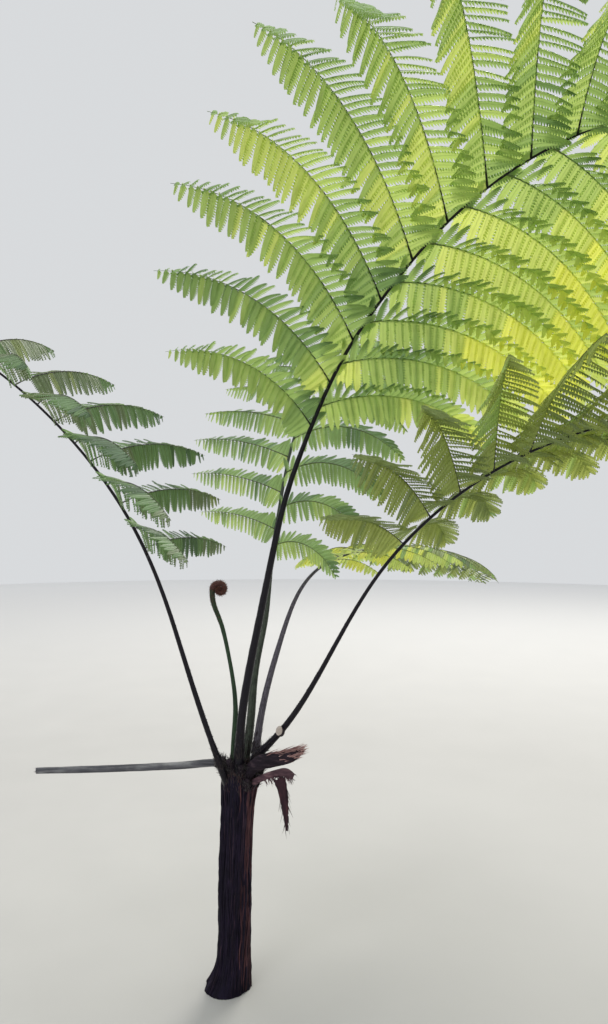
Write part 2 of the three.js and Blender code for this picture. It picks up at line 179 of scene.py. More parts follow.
class Noise:
    """Smooth value noise in three dimensions, from a seeded table."""

    def __init__(self, seed):
        self.table = np.random.default_rng(seed).random(4096) * 2 - 1

    def _at(self, i, j, k):
        return self.table[(i * 1619 + j * 31337 + k * 6971) & 4095]

    def __call__(self, p, scale=1.0):
        q = np.asarray(p, float) * scale
        i = np.floor(q).astype(np.int64)
        f = q - i
        f = f * f * (3 - 2 * f)
        out = 0
        for a in (0, 1):
            for b in (0, 1):
                for c in (0, 1):
                    w = (f[..., 0] if a else 1 - f[..., 0]) * (f[..., 1] if b else 1 - f[..., 1]) * (f[..., 2] if c else 1 - f[..., 2])
                    out = out + w * self._at(i[..., 0] + a, i[..., 1] + b, i[..., 2] + c)
        return out


noise_a, noise_b = Noise(11), Noise(12)

# ------------------------------------------------------------------ joined meshes


class Bag:
    """Vertices and faces of one joined piece."""

    def __init__(self):
        self.v, self.t, self.q, self.n = [], [], [], 0

    def add(self, v, tris=(), quads=()):
        v = np.asarray(v, float).reshape(-1, 3)
        if len(tris):
            self.t.append(np.asarray(tris, np.int64).reshape(-1, 3) + self.n)
        if len(quads):
            self.q.append(np.asarray(quads, np.int64).reshape(-1, 4) + self.n)
        self.v.append(v)
        self.n += len(v)

    def copies(self, V, tris=(), quads=()):
        """V holds many placed copies of one shape: (copy, vertex, 3)."""
        m, k, _ = V.shape
        if not m:
            return
        off = self.n + (np.arange(m) * k)[:, None, None]
        if len(tris):
            self.t.append((np.asarray(tris, np.int64)[None] + off).reshape(-1, 3))
        if len(quads):
            self.q.append((np.asarray(quads, np.int64)[None] + off).reshape(-1, 4))
        self.v.append(V.reshape(-1, 3))
        self.n += m * k

    def triangles(self):
        return sum(len(t) for t in self.t) + 2 * sum(len(q) for q in self.q)

    def piece(self, name, material, slot, nodes=(), smooth=False):
        v = np.vstack(self.v)
        v[:, 2] = np.maximum(v[:, 2], 0.0)
        t = np.vstack(self.t) if self.t else np.zeros((0, 3), np.int64)
        q = np.vstack(self.q) if self.q else np.zeros((0, 4), np.int64)
        me = bpy.data.meshes.new(name)
        me.vertices.add(len(v))
        me.vertices.foreach_set("co", v.astype(np.float32).ravel())
        loops = np.concatenate([t.ravel(), q.ravel()]).astype(np.int32)
        me.loops.add(len(loops))
        me.loops.foreach_set("vertex_index", loops)
        me.polygons.add(len(t) + len(q))
        starts = np.concatenate([np.arange(len(t)) * 3, len(t) * 3 + np.arange(len(q)) * 4]).astype(np.int32)
        me.polygons.foreach_set("loop_start", starts)
        me.polygons.foreach_set("use_smooth", np.full(len(t) + len(q), smooth))
        me.update(calc_edges=True)
        me.validate()
        ob = bpy.data.objects.new(name, me)
        bpy.context.scene.collection.objects.link(ob)
        me.materials.append(material)
        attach(ob, "root")
        if nodes:
            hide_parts(*nodes)
        made.append((name, self.triangles()))
        return ob


made = []


def ring_frames(P, hint=(0, 0, 1)):
    """Directions along a path, and two across it that don't twist."""
    P = np.asarray(P, float)
    T = unit(np.gradient(P, axis=0))
    h = np.array(hint, float)
    if abs(T[0] @ h) > 0.9:
        h = np.array([0.0, 1.0, 0.0]) if abs(T[0][1]) < 0.9 else np.array([1.0, 0.0, 0.0])
    side = unit(np.cross(h, T[0]))
    A = np.zeros_like(T)
    for k in range(len(T)):
        side = unit(side - T[k] * (side @ T[k]))
        A[k] = side
    return T, A, np.cross(T, A)


def tube(bag, P, radii, sides=8, caps=True, shape=None, frames=None, flat=1.0):
    """Closed tube along P. shape(angle, k) multiplies the radius; flat squeezes the second direction."""
    P = np.asarray(P, float)
    n = len(P)
    T, A, B = ring_frames(P) if frames is None else frames
    radii = np.broadcast_to(np.asarray(radii, float), (n,))
    q = 2 * np.pi * (np.arange(sides) + 0.5) / sides
    R = radii[:, None] * (np.ones((n, sides)) if shape is None else shape(q[None, :], np.arange(n)[:, None]))
    flat = np.broadcast_to(np.asarray(flat, float), (n,))
    V = P[:, None, :] + A[:, None, :] * (R * np.cos(q))[..., None] + B[:, None, :] * (R * flat[:, None] * np.sin(q))[..., None]
    j = np.arange(sides)
    k = np.arange(n - 1)[:, None]
    a, b = k * sides + j, k * sides + (j + 1) % sides
    quads = np.stack([a, b, b + sides, a + sides], -1).reshape(-1, 4)
    verts, tris = V.reshape(-1, 3), []
    if caps:
        verts = np.vstack([verts, P[0], P[-1]])
        c0, c1, e = n * sides, n * sides + 1, (n - 1) * sides
        tris = [(c0, (i + 1) % sides, i) for i in range(sides)] + [(c1, e + i, e + (i + 1) % sides) for i in range(sides)]
    bag.add(verts, tris, quads)
    return V


def smooth_path(points, n):
    """A curve through evenly spaced control points."""
    pts = np.asarray(points, float)
    u = np.linspace(0, 1, n)
    return np.stack([along(pts[:, k], u) for k in range(3)], -1)


# ------------------------------------------------------------------ materials


def srgb(r, g, b):
    c = np.array([r, g, b], float) / 255
    c = np.where(c <= 0.04045, c / 12.92, ((c + 0.055) / 1.055) ** 2.4)
    return (float(c[0]), float(c[1]), float(c[2]), 1.0)


class Shader:
    """A node material with a few short ways to add to it."""

    def __init__(self, name):
        self.mat = bpy.data.materials.new(name)
        self.mat.use_nodes = True
        self.tree = self.mat.node_tree
        self.tree.nodes.clear()
        self.out = self.new("ShaderNodeOutputMaterial")
        self.bsdf = self.new("ShaderNodeBsdfPrincipled")
        self.link(self.bsdf.outputs[0], self.out.inputs[0])
        self.coord = self.new("ShaderNodeTexCoord").outputs["Object"]

    def new(self, kind):
        return self.tree.nodes.new(kind)

    def link(self, a, b):
        self.tree.links.new(a, b)

    def mapping(self, scale):
        m = self.new("ShaderNodeMapping")
        m.inputs["Scale"].default_value = scale
        self.link(self.coord, m.inputs["Vector"])
        return m.outputs[0]

    def noise(self, scale, detail=4.0, rough=0.55, stretch=(1, 1, 1), distort=0.0):
        n = self.new("ShaderNodeTexNoise")
        n.inputs["Scale"].default_value = scale
        n.inputs["Detail"].default_value = detail
        n.inputs["Roughness"].default_value = rough
        n.inputs["Distortion"].default_value = distort
        self.link(self.mapping(stretch), n.inputs["Vector"])
        return n.outputs["Fac"]

    def voronoi(self, scale, stretch=(1, 1, 1), feature="F1"):
        n = self.new("ShaderNodeTexVoronoi")
        n.feature = feature
        n.inputs["Scale"].default_value = scale
        self.link(self.mapping(stretch), n.inputs["Vector"])
        return n.outputs["Distance"]

    def ramp(self, fac, stops):
        r = self.new("ShaderNodeValToRGB")
        while len(r.color_ramp.elements) < len(stops):
            r.color_ramp.elements.new(0.5)
        for e, (pos, col) in zip(r.color_ramp.elements, stops):
            e.position, e.color = pos, col
        self.link(fac, r.inputs["Fac"])
        return r.outputs["Color"]

    def range(self, fac, lo, hi, a=0.3, b=0.7):
        m = self.new("ShaderNodeMapRange")
        m.inputs["From Min"].default_value, m.inputs["From Max"].default_value = a, b
        m.inputs["To Min"].default_value, m.inputs["To Max"].default_value = lo, hi
        self.link(fac, m.inputs["Value"])
        return m.outputs["Result"]

    def mix(self, fac, a, b, mode="MIX"):
        m = self.new("ShaderNodeMix")
        m.data_type, m.blend_type = "RGBA", mode
        for socket, value in ((m.inputs["Factor"], fac), (m.inputs[6], a), (m.inputs[7], b)):
            if isinstance(value, (tuple, float, int)):
                socket.default_value = value
            else:
                self.link(value, socket)
        return m.outputs[2]

    def add(self, a, b, weight=1.0):
        m = self.new("ShaderNodeMath")
        m.operation = "MULTIPLY_ADD"
        self.link(b, m.inputs[0])
        m.inputs[1].default_value = weight
        self.link(a, m.inputs[2])
        return m.outputs[0]

    def bump(self, height, strength, distance):
        b = self.new("ShaderNodeBump")
        b.inputs["Strength"].default_value = strength
        b.inputs["Distance"].default_value = distance
        self.link(height, b.inputs["Height"])
        self.link(b.outputs[0], self.bsdf.inputs["Normal"])
        return b.outputs[0]

    def set(self, **values):
        for k, v in values.items():
            self.bsdf.inputs[k.replace("_", " ")].default_value = v


def leaf_material(name, face, glow, share=0.34, rough=0.46, gloss=0.30):
    """Thin leaf: a plain colour with a slight mottle, and a share of light that comes through."""
    s = Shader(name)
    mottle = s.noise(26, 3, 0.6)
    fine = s.noise(420, 2, 0.5)
    dark = tuple(c * 0.80 for c in face[:3]) + (1.0,)
    light = tuple(min(c * 1.16, 1) for c in face[:3]) + (1.0,)
    s.link(s.ramp(mottle, [(0.32, dark), (0.68, light)]), s.bsdf.inputs["Base Color"])
    s.link(s.range(fine, rough - 0.06, rough + 0.10), s.bsdf.inputs["Roughness"])
    s.set(Specular_IOR_Level=gloss)
    normal = s.bump(s.add(fine, s.noise(90, 3), 0.6), 0.35, 0.0006)
    t = s.new("ShaderNodeBsdfTranslucent")
    t.inputs["Color"].default_value = glow
    s.link(normal, t.inputs["Normal"])
    m = s.new("ShaderNodeMixShader")
    m.inputs[0].default_value = share
    s.link(s.bsdf.outputs[0], m.inputs[1])
    s.link(t.outputs[0], m.inputs[2])
    s.link(m.outputs[0], s.out.inputs[0])
    return s.mat


def stalk_material(name, dark, light, rough=0.34, streak=0.5, gloss=0.32):
    """Smooth stalk: fine lengthwise streaks, small pale warts and a little gloss."""
    s = Shader(name)
    lines = s.noise(60, 5, 0.6, stretch=(6, 6, 0.7))
    spots = s.voronoi(230)
    col = s.ramp(lines, [(0.5 - streak * 0.25, dark), (0.5 + streak * 0.25, light)])
    pale = tuple(min(c * 2.6 + 0.01, 1) for c in light[:3]) + (1.0,)
    col = s.mix(s.range(spots, 0.55, 0.0, 0.05, 0.22), col, pale)
    s.link(col, s.bsdf.inputs["Base Color"])
    s.link(s.range(lines, rough - 0.08, rough + 0.16), s.bsdf.inputs["Roughness"])
    s.set(Specular_IOR_Level=gloss)
    s.bump(s.add(lines, spots, -0.8), 0.5, 0.0012)
    return s.mat


def fibre_material(name, dark, mid, light, rough=0.85, scale=1.0, grain=(1, 1, 0.12)):
    """Matted dry fibre or bark: upright strands, coloured after the bump: darker in the clefts between them, which is
    painted shade, and lighter on their raised tops, which is painted light.
    """
    s = Shader(name)
    strands = s.noise(90 * scale, 6, 0.65, stretch=grain, distort=0.6)
    patch = s.noise(14 * scale, 4, 0.6)
    grit = s.noise(520 * scale, 3, 0.6)
    # painted shade and light: the ramp reads the same strands as the bump, dark in its low clefts and light on its
    # raised tops
    col = s.ramp(strands, [(0.30, dark), (0.52, mid), (0.74, light)])
    col = s.mix(s.range(patch, 0.0, 0.75, 0.42, 0.70), col, dark)
    s.link(col, s.bsdf.inputs["Base Color"])
    s.link(s.range(grit, rough - 0.12, min(rough + 0.1, 1)), s.bsdf.inputs["Roughness"])
    s.set(Specular_IOR_Level=0.25)
    s.bump(s.add(strands, grit, 0.35), 0.9, 0.0025)
    return s.mat


def scale_material(name, a, b, rough=0.6):
    """Papery scale or hair: streaked along, a touch of sheen."""
    s = Shader(name)
    lines = s.noise(240, 4, 0.6, stretch=(3, 3, 0.5))
    s.link(s.ramp(lines, [(0.32, a), (0.68, b)]), s.bsdf.inputs["Base Color"])
    s.link(s.range(lines, rough - 0.1, rough + 0.15), s.bsdf.inputs["Roughness"])
    s.set(Specular_IOR_Level=0.35, Sheen_Weight=0.15)
    s.bump(lines, 0.4, 0.0006)
    return s.mat


# leaf tints: surface colour and the colour of light that comes through. They are lit and shaded copies of one leaf
# green: 'shade' and 'deep' are painted shade, 'bright' and 'yellow' painted sunlight, and the brighter copies let more
# light through
TINTS = {
    "shade": leaf_material("leaf_shade", srgb(80, 106, 76), srgb(108, 138, 84), 0.28, 0.44, 0.40),
    "deep": leaf_material("leaf_deep", srgb(102, 131, 90), srgb(140, 172, 98), 0.32, 0.44, 0.38),
    "dull": leaf_material("leaf_dull", srgb(112, 128, 98), srgb(142, 158, 98), 0.28, 0.44, 0.38),
    "green": leaf_material("leaf_green", srgb(132, 162, 106), srgb(178, 205, 114), 0.36),
    "fresh": leaf_material("leaf_fresh", srgb(156, 184, 114), srgb(206, 226, 122), 0.39),
    "bright": leaf_material("leaf_bright", srgb(186, 207, 122), srgb(234, 242, 128), 0.43),
    "yellow": leaf_material("leaf_yellow", srgb(216, 223, 108), srgb(248, 248, 118), 0.47),
    "olive": leaf_material("leaf_olive", srgb(130, 145, 98), srgb(170, 184, 98), 0.33),
    "moss": leaf_material("leaf_moss", srgb(150, 164, 98), srgb(194, 204, 98), 0.37),
}

M_RIB_DARK = stalk_material("rib_dark", srgb(20, 16, 24), srgb(38, 32, 42), 0.36, 0.5, 0.25)
M_RIB_GREEN = stalk_material("rib_green", srgb(78, 98, 52), srgb(122, 142, 78), 0.46, 0.5, 0.25)
M_RIB_OLIVE = stalk_material("rib_olive", srgb(50, 54, 36), srgb(84, 90, 56), 0.46, 0.5, 0.25)
M_STALK_DARK = stalk_material("stalk_dark", srgb(7, 5, 11), srgb(20, 15, 27), 0.34, 0.5, 0.26)
M_STALK_GREEN = stalk_material("stalk_green", srgb(38, 44, 37), srgb(70, 78, 66), 0.42, 0.5, 0.25)
M_STALK_GREY = stalk_material("stalk_grey", srgb(60, 56, 64), srgb(96, 91, 100), 0.46, 0.5, 0.25)
M_STALK_YOUNG = stalk_material("stalk_young", srgb(26, 44, 30), srgb(52, 74, 50), 0.46, 0.5, 0.25)
M_BARK = fibre_material("bark_core", srgb(8, 5, 15), srgb(17, 10, 31), srgb(34, 24, 48), 0.9)
M_FIBRE_DARK = fibre_material("fibre_dark", srgb(12, 8, 21), srgb(23, 14, 35), srgb(44, 31, 55), 0.85, 1.4)
M_FIBRE_BROWN = fibre_material("fibre_brown", srgb(24, 15, 28), srgb(42, 29, 44), srgb(72, 53, 66), 0.85, 1.4)
M_FIBRE_RED = fibre_material("fibre_red", srgb(42, 23, 30), srgb(74, 45, 50), srgb(112, 77, 76), 0.8, 1.4)
M_SCALE_DARK = scale_material("scale_dark", srgb(22, 15, 18), srgb(46, 32, 34))
M_SCALE_RED = scale_material("scale_red", srgb(48, 28, 32), srgb(88, 56, 54))
M_SCALE_COIL = scale_material("scale_coil", srgb(46, 22, 22), srgb(98, 50, 40), 0.34)
M_SCALE_FUZZ = scale_material("scale_fuzz", srgb(62, 32, 28), srgb(122, 74, 58), 0.55)
SLANT = (0.16, 0.30, 1.1)
M_DEAD = fibre_material("dead_wood", srgb(18, 12, 18), srgb(38, 28, 38), srgb(76, 62, 68), 0.85, 1.2)
M_STUB = fibre_material("dead_wood_slanting", srgb(17, 11, 18), srgb(37, 27, 37), srgb(80, 65, 70), 0.85, 1.0, SLANT)
M_TORN = fibre_material("dead_torn", srgb(108, 76, 76), srgb(170, 134, 128), srgb(228, 200, 190), 0.8, 1.2, SLANT)
M_FLAP = fibre_material("dead_flap", srgb(44, 30, 38), srgb(88, 64, 70), srgb(140, 108, 112), 0.8, 1.0, SLANT)
M_STRIP = fibre_material("dead_strip", srgb(28, 15, 24), srgb(58, 31, 40), srgb(98, 58, 60), 0.7, 1.2)
M_GREY = fibre_material("dead_grey", srgb(58, 58, 64), srgb(102, 102, 106), srgb(160, 160, 160), 0.85, 0.8, (0.10, 1.0, 1.3))
M_CUT = fibre_material("cut_pale", srgb(150, 138, 130), srgb(190, 178, 168), srgb(220, 210, 200), 0.7, 2.0)

# ------------------------------------------------------------------ leaf shapes

ENVELOPE = ([0, 0.04, 0.12, 0.25, 0.42, 0.58, 0.72, 0.84, 0.93, 1.0],
            [0.80, 0.94, 1.0, 1.0, 0.98, 0.91, 0.77, 0.54, 0.30, 0.03])


def blade_shape(lobes, seed):
    """One lobed blade: x along it from 0 to 1, y in half widths, z in half widths."""
    r = np.random.default_rng(seed)
    end = 0.965
    x = end * (np.arange(lobes + 1) / lobes) ** 0.96
    env = np.interp(x, *ENVELOPE)
    cut = np.interp(x, [0, 0.5, 0.85, 1], [0.56, 0.54, 0.62, 0.85])
    verts = [(xi, 0.0, -0.10) for xi in x] + [(1.0, 0.0, -0.12)]
    tip, quads, tris = lobes + 1, [], []
    for s in (1, -1):
        base = len(verts)
        for i in range(lobes + 1):
            verts.append((x[i], s * env[i] * cut[i] if i else s * 0.72, -0.05))
        for i in range(lobes):
            d = x[i + 1] - x[i]
            j = r.uniform(-0.06, 0.06, 4)
            e0, e1 = np.interp([x[i] + 0.44 * d, x[i] + 0.92 * d], *ENVELOPE)
            verts.append((x[i] + (0.44 + j[0]) * d, s * e0 * (0.93 + j[1]), -0.22 + j[1]))
            verts.append((x[i] + (0.92 + j[2]) * d, s * e1 * (1.0 + j[3]), -0.34 + 1.2 * j[0]))
            o = base + lobes + 1 + 2 * i
            inner = (i, i + 1, base + i + 1, base + i)
            outer = (base + i, base + i + 1, o + 1, o)
            quads += [inner, outer] if s == 1 else [inner[::-1], outer[::-1]]
        last = (lobes, tip, base + lobes)
        tris.append(last if s == 1 else last[::-1])
    return np.array(verts), np.array(tris), np.array(quads)


BLADES = {n: [blade_shape(n, 100 * n + k) for k in range(4)] for n in (13, 10, 7, 5, 3)}


def blade_kind(length):
    return 13 if length > 0.058 else 10 if length > 0.042 else 7 if length > 0.028 else 5 if length > 0.017 else 3


# midvein of one blade: three-sided, thin
VEIN_X = [0.0, 0.35, 0.68, 0.93]
VEIN = []
for k, vx in enumerate(VEIN_X):
    vr = (1.0, 0.8, 0.55, 0.2)[k]
    VEIN += [(vx, vr * math.cos(a), vr * math.sin(a)) for a in (math.pi / 2, math.pi * 7 / 6, math.pi * 11 / 6)]
VEIN = np.array(VEIN)
VEIN_Q = np.array([(3 * k + j, 3 * k + (j + 1) % 3, 3 * k + 3 + (j + 1) % 3, 3 * k + 3 + j) for k in range(3) for j in range(3)])


def place_blades(rows, bags, veins):
    """rows: dict of arrays O, A, B, C, L, W, sag, tint, key. Fills one bag for each tint."""
    O, A, B, C = rows["O"], rows["A"], rows["B"], rows["C"]
    L, W, sag, tint, variant = rows["L"], rows["W"], rows["sag"], rows["tint"], rows["variant"]
    kinds = np.array([blade_kind(x) for x in L])

    def put(shape, pick, wide):
        x, y, z = shape[:, 0], shape[:, 1], shape[:, 2]
        w = W[pick] if wide is None else wide
        V = (O[pick][:, None] + A[pick][:, None] * (x[None] * L[pick][:, None])[..., None]
             + B[pick][:, None] * (y[None] * w[:, None])[..., None] + C[pick][:, None] * (z[None] * w[:, None])[..., None])
        V[..., 2] -= (sag[pick] * L[pick])[:, None] * x[None] ** 2
        return V

    for t in set(tint):
        for kind in BLADES:
            for k, (shape, tris, quads) in enumerate(BLADES[kind]):
                pick = np.flatnonzero((tint == t) & (kinds == kind) & (variant == k))
                if len(pick):
                    bags.setdefault(t, Bag()).copies(put(shape, pick, None), tris, quads)
    pick = np.flatnonzero(L > 0.016)
    thick = np.full(len(pick), 1.0) * (0.00016 + 0.0045 * L[pick])
    veins.copies(put(VEIN, pick, thick), (), VEIN_Q)


# ------------------------------------------------------------------ fronds


BARE_RIB = {"frond_left": (0.07, 0.13), "frond_right": (0.03, 0.03)}
BLADE_LENGTH = {"frond_right": 1.28, "frond_left": 1.10, "frond_side": 1.05}


def leaflet_rows(f, points, side, x, rows, ribs_dark, ribs_green, tint_of):
    u = f["bare"] + (1 - f["bare"]) * x
    length = f["leaflet"] * float(along(f["shape"][side] if "shape" in f else LENGTH_SHAPE, x)) * f["reach"][side] * MM * rng.uniform(0.98, 1.015)
    T, S, N = (a for a in axes(f, u))
    D0 = leaflet_direction(f, u, x, side)
    az = math.atan2(D0[1], D0[0]) + rng.normal(0, 0.5) * RAD
    el = math.asin(max(-1, min(1, D0[2]))) + rng.normal(0, 0.5) * RAD
    droop = f["droop"][side] * RAD * rng.uniform(0.96, 1.04)
    fine = 48
    t = (np.arange(fine) + 0.5) / fine
    P = at(points, u) + np.vstack([np.zeros(3), np.cumsum(heading(np.full(fine, az), el - droop * t) * (length / fine), axis=0)])
    tt = np.linspace(0, 1, fine + 1)
    D = heading(np.full(fine + 1, az), el - droop * tt)
    W = unit(T - D * (D @ T)[:, None])
    up = np.cross(W, D) * (1 if side == 0 else -1)

    # rib of the leaflet
    r0 = (0.00075 + 0.00135 * (length / 0.74)) if length > 0.08 else 0.0007
    r = r0 * (1 - 0.80 * tt**1.2)
    r[:4] *= 1 + 0.55 * np.exp(-np.arange(4))
    sel = np.unique(np.round(np.linspace(0, fine, 17)).astype(int))
    split = int(np.searchsorted(tt[sel], 0.62 if length > 0.3 else 0.4))
    tube(ribs_dark, P[sel[: split + 1]], r[sel[: split + 1]], 6)
    tube(ribs_green, P[sel[split:]], r[sel[split:]], 5)

    # two rows of blades
    scale = length / 0.74
    gap = 0.0095 + 0.0128 * scale
    longest = (0.012 + 0.074 * scale**0.9) * BLADE_LENGTH.get(f["name"], 1.0)
    foot = BARE_RIB.get(f["name"], (0.0, 0.0))[side]
    count = max(int(round((length - 0.012) / gap)), 3)
    for p in (1, -1):
        s = (np.arange(count) + (0.55 if p == 1 else 0.30)) / (count + 0.1)
        s = s[(s < 0.995) & (s > foot)] ** 0.985
        n = len(s)
        prof = np.interp(s, [0, 0.05, 0.16, 0.3, 0.5, 0.68, 0.82, 0.92, 1.0], [0.90, 0.98, 1.02, 1.03, 1.0, 0.91, 0.75, 0.50, 0.16])
        Lb = longest * prof * rng.uniform(0.95, 1.04, n) * (1 - 0.45 * np.exp(-(((s - foot) / 0.05) ** 2)) * (foot > 0))
        Wb = 0.5 * np.minimum(gap * 1.42, Lb * 0.54) * rng.uniform(0.95, 1.05, n)
        fw = np.interp(s, [0, 0.5, 0.85, 1], [4, 10, 24, 50]) * RAD + rng.normal(0, 2.0, n) * RAD
        near = np.exp(-((s * length / 0.055) ** 2))
        down = (((42 if p == 1 else 22) + 6 * s) * (1 - near) - 14 * near) * RAD + rng.normal(0, 4.0, n) * RAD
        idx = s * fine
        i = np.minimum(idx.astype(int), fine - 1)
        w = (idx - i)[:, None]
        O = P[i] * (1 - w) + P[i + 1] * w
        Dk, Wk, Uk = unit(D[i] * (1 - w) + D[i + 1] * w), unit(W[i] * (1 - w) + W[i + 1] * w), unit(up[i] * (1 - w) + up[i + 1] * w)
        flatdir = Wk * (p * np.cos(fw))[:, None] + Dk * np.sin(fw)[:, None]
        A = flatdir * np.cos(down)[:, None] - Uk * np.sin(down)[:, None]
        C = Uk * np.cos(down)[:, None] + flatdir * np.sin(down)[:, None]
        turn = rng.normal(9, 5, n) * RAD
        B = np.cross(C, A)
        B, C = B * np.cos(turn)[:, None] + C * np.sin(turn)[:, None], C * np.cos(turn)[:, None] - B * np.sin(turn)[:, None]
        rr = np.interp(s, tt, r)
        rows["O"].append(O + A * (rr * 0.6)[:, None])
        rows["A"].append(A)
        rows["B"].append(B)
        rows["C"].append(C)
        rows["L"].append(Lb)
        rows["W"].append(Wb)
        rows["sag"].append(rng.uniform(0.06, 0.17, n))
        rows["tint"].append(np.array([tint_of(x, side, a, p) for a in s]))
        rows["variant"].append(rng.integers(0, 4, n))


# Each ladder runs from painted shade up to painted sunlight: a tint's place on it stands for how much light falls on
# the blade, not for another leaf colour.
LADDER = ("shade", "deep", "green", "fresh", "bright", "yellow")
RIGHT_LADDER = ("deep", "olive", "moss", "fresh", "bright")
DULL_LADDER = ("shade", "deep", "dull", "olive", "green", "fresh")


def patch(x, s, seed, size=1.0):
    """Slow change of light along a frond and its leaflets, from about -1 to 1."""
    return 1.3 * float(noise_a(np.array([x * 9 * size, s * 4 * size, seed]))) + 0.35 * float(noise_b(np.array([x * 24 * size, s * 9 * size, seed])))


def step(ladder, value):
    """Tint at a height on a ladder, with a little scatter from blade to blade."""
    k = value + rng.normal(0, 0.16)
    return ladder[int(min(max(round(k), 0), len(ladder) - 1))]


# Painted shade: in each rule below the upper row of blades on a leaflet (p = 1) steps down the ladder, darker than the
# lower row, for the shade on the row that hangs on the far side of its rib.
def tint_main(x, side, s, p):
    k = patch(x, s, 1.0)
    if side == 0:      # the far row: green by the midrib, sunlit outwards
        value = 3.6 + 0.65 * k + 1.15 * min(max((s - 0.42 + 0.45 * x) / 0.40, -0.2), 1.0)
        return step(LADDER, value - (1.35 if p == 1 and s < 0.75 else 0.5 if p == 1 else 0))
    value = 3.1 + 0.75 * k + 0.4 * x
    return step(LADDER, value - (0.95 if p == 1 else 0))


def tint_left(x, side, s, p):
    return step(DULL_LADDER, 1.45 + 1.0 * patch(x, s, 7.0) - (0.5 if p == 1 else 0))


def tint_right(x, side, s, p):
    return step(RIGHT_LADDER, 1.85 + 0.75 * patch(x, s, 13.0) + 0.5 * s - (0.7 if p == 1 else 0))


def tint_back(x, side, s, p):
    return step(LADDER, (2.3 if side == 0 else 2.1) + 0.9 * patch(x, s, 19.0) - (0.8 if p == 1 else 0))


def tint_side(x, side, s, p):
    k = patch(x, s, 27.0)
    # Painted sunlight near the foot of this frond: its first third steps high on the bright ladder, the rest stays on
    # the darker one.
    if x + 0.12 * k + rng.normal(0, 0.06) < 0.33:
        return step(LADDER, 4.8 - 1.6 * x + 0.7 * k - (0.4 if p == 1 else 0))
    return step(DULL_LADDER, 2.9 + 1.2 * k)


LOOK = {
    "frond_main": (tint_main, M_STALK_DARK, M_STALK_DARK, "stalk_dark", "leaf_bright"),
    "frond_left": (tint_left, M_STALK_DARK, M_STALK_DARK, "stalk_dark", "leaf_dark"),
    "frond_right": (tint_right, M_STALK_DARK, M_STALK_DARK, "stalk_dark", "leaf_olive"),
    "frond_back": (tint_back, M_STALK_GREEN, M_STALK_GREEN, "stalk_green", "leaf_green"),
    "frond_side": (tint_side, M_STALK_GREY, M_STALK_GREEN, "stalk_grey", "leaf_yellow"),
}

scales_dark, scales_red = Bag(), Bag()

# a narrow scale: x along it, y in half widths, z bend
SCALE_V = np.array([(0, -0.5, 0), (0, 0.5, 0), (0.35, 1.0, 0.05), (0.35, -1.0, 0.05), (0.7, 0.6, 0.14), (0.7, -0.6, 0.14), (1.0, 0, 0.30)])
SCALE_Q = np.array([(0, 1, 2, 3), (3, 2, 4, 5)])
SCALE_T = np.array([(5, 4, 6)])


def put_scales(bag, O, A, N, L, W, bend):
    """O: roots, A: directions along, N: outward; bend lifts (+) or presses (-) the tip."""
    A, N = unit(A), unit(N)
    B = unit(np.cross(N, A))
    C = np.cross(A, B)
    x, y, z = SCALE_V.T
    V = (O[:, None] + A[:, None] * (x[None] * L[:, None])[..., None] + B[:, None] * (y[None] * W[:, None])[..., None]
         + C[:, None] * (z[None] * (bend * L)[:, None])[..., None])
    bag.copies(V, SCALE_T, SCALE_Q)


WART = np.array([(1, 0, 0), (0, 1, 0), (-1, 0, 0), (0, -1, 0), (0.2, 0, 1.1)])
WART_T = np.array([(0, 1, 4), (1, 2, 4), (2, 3, 4), (3, 0, 4)])


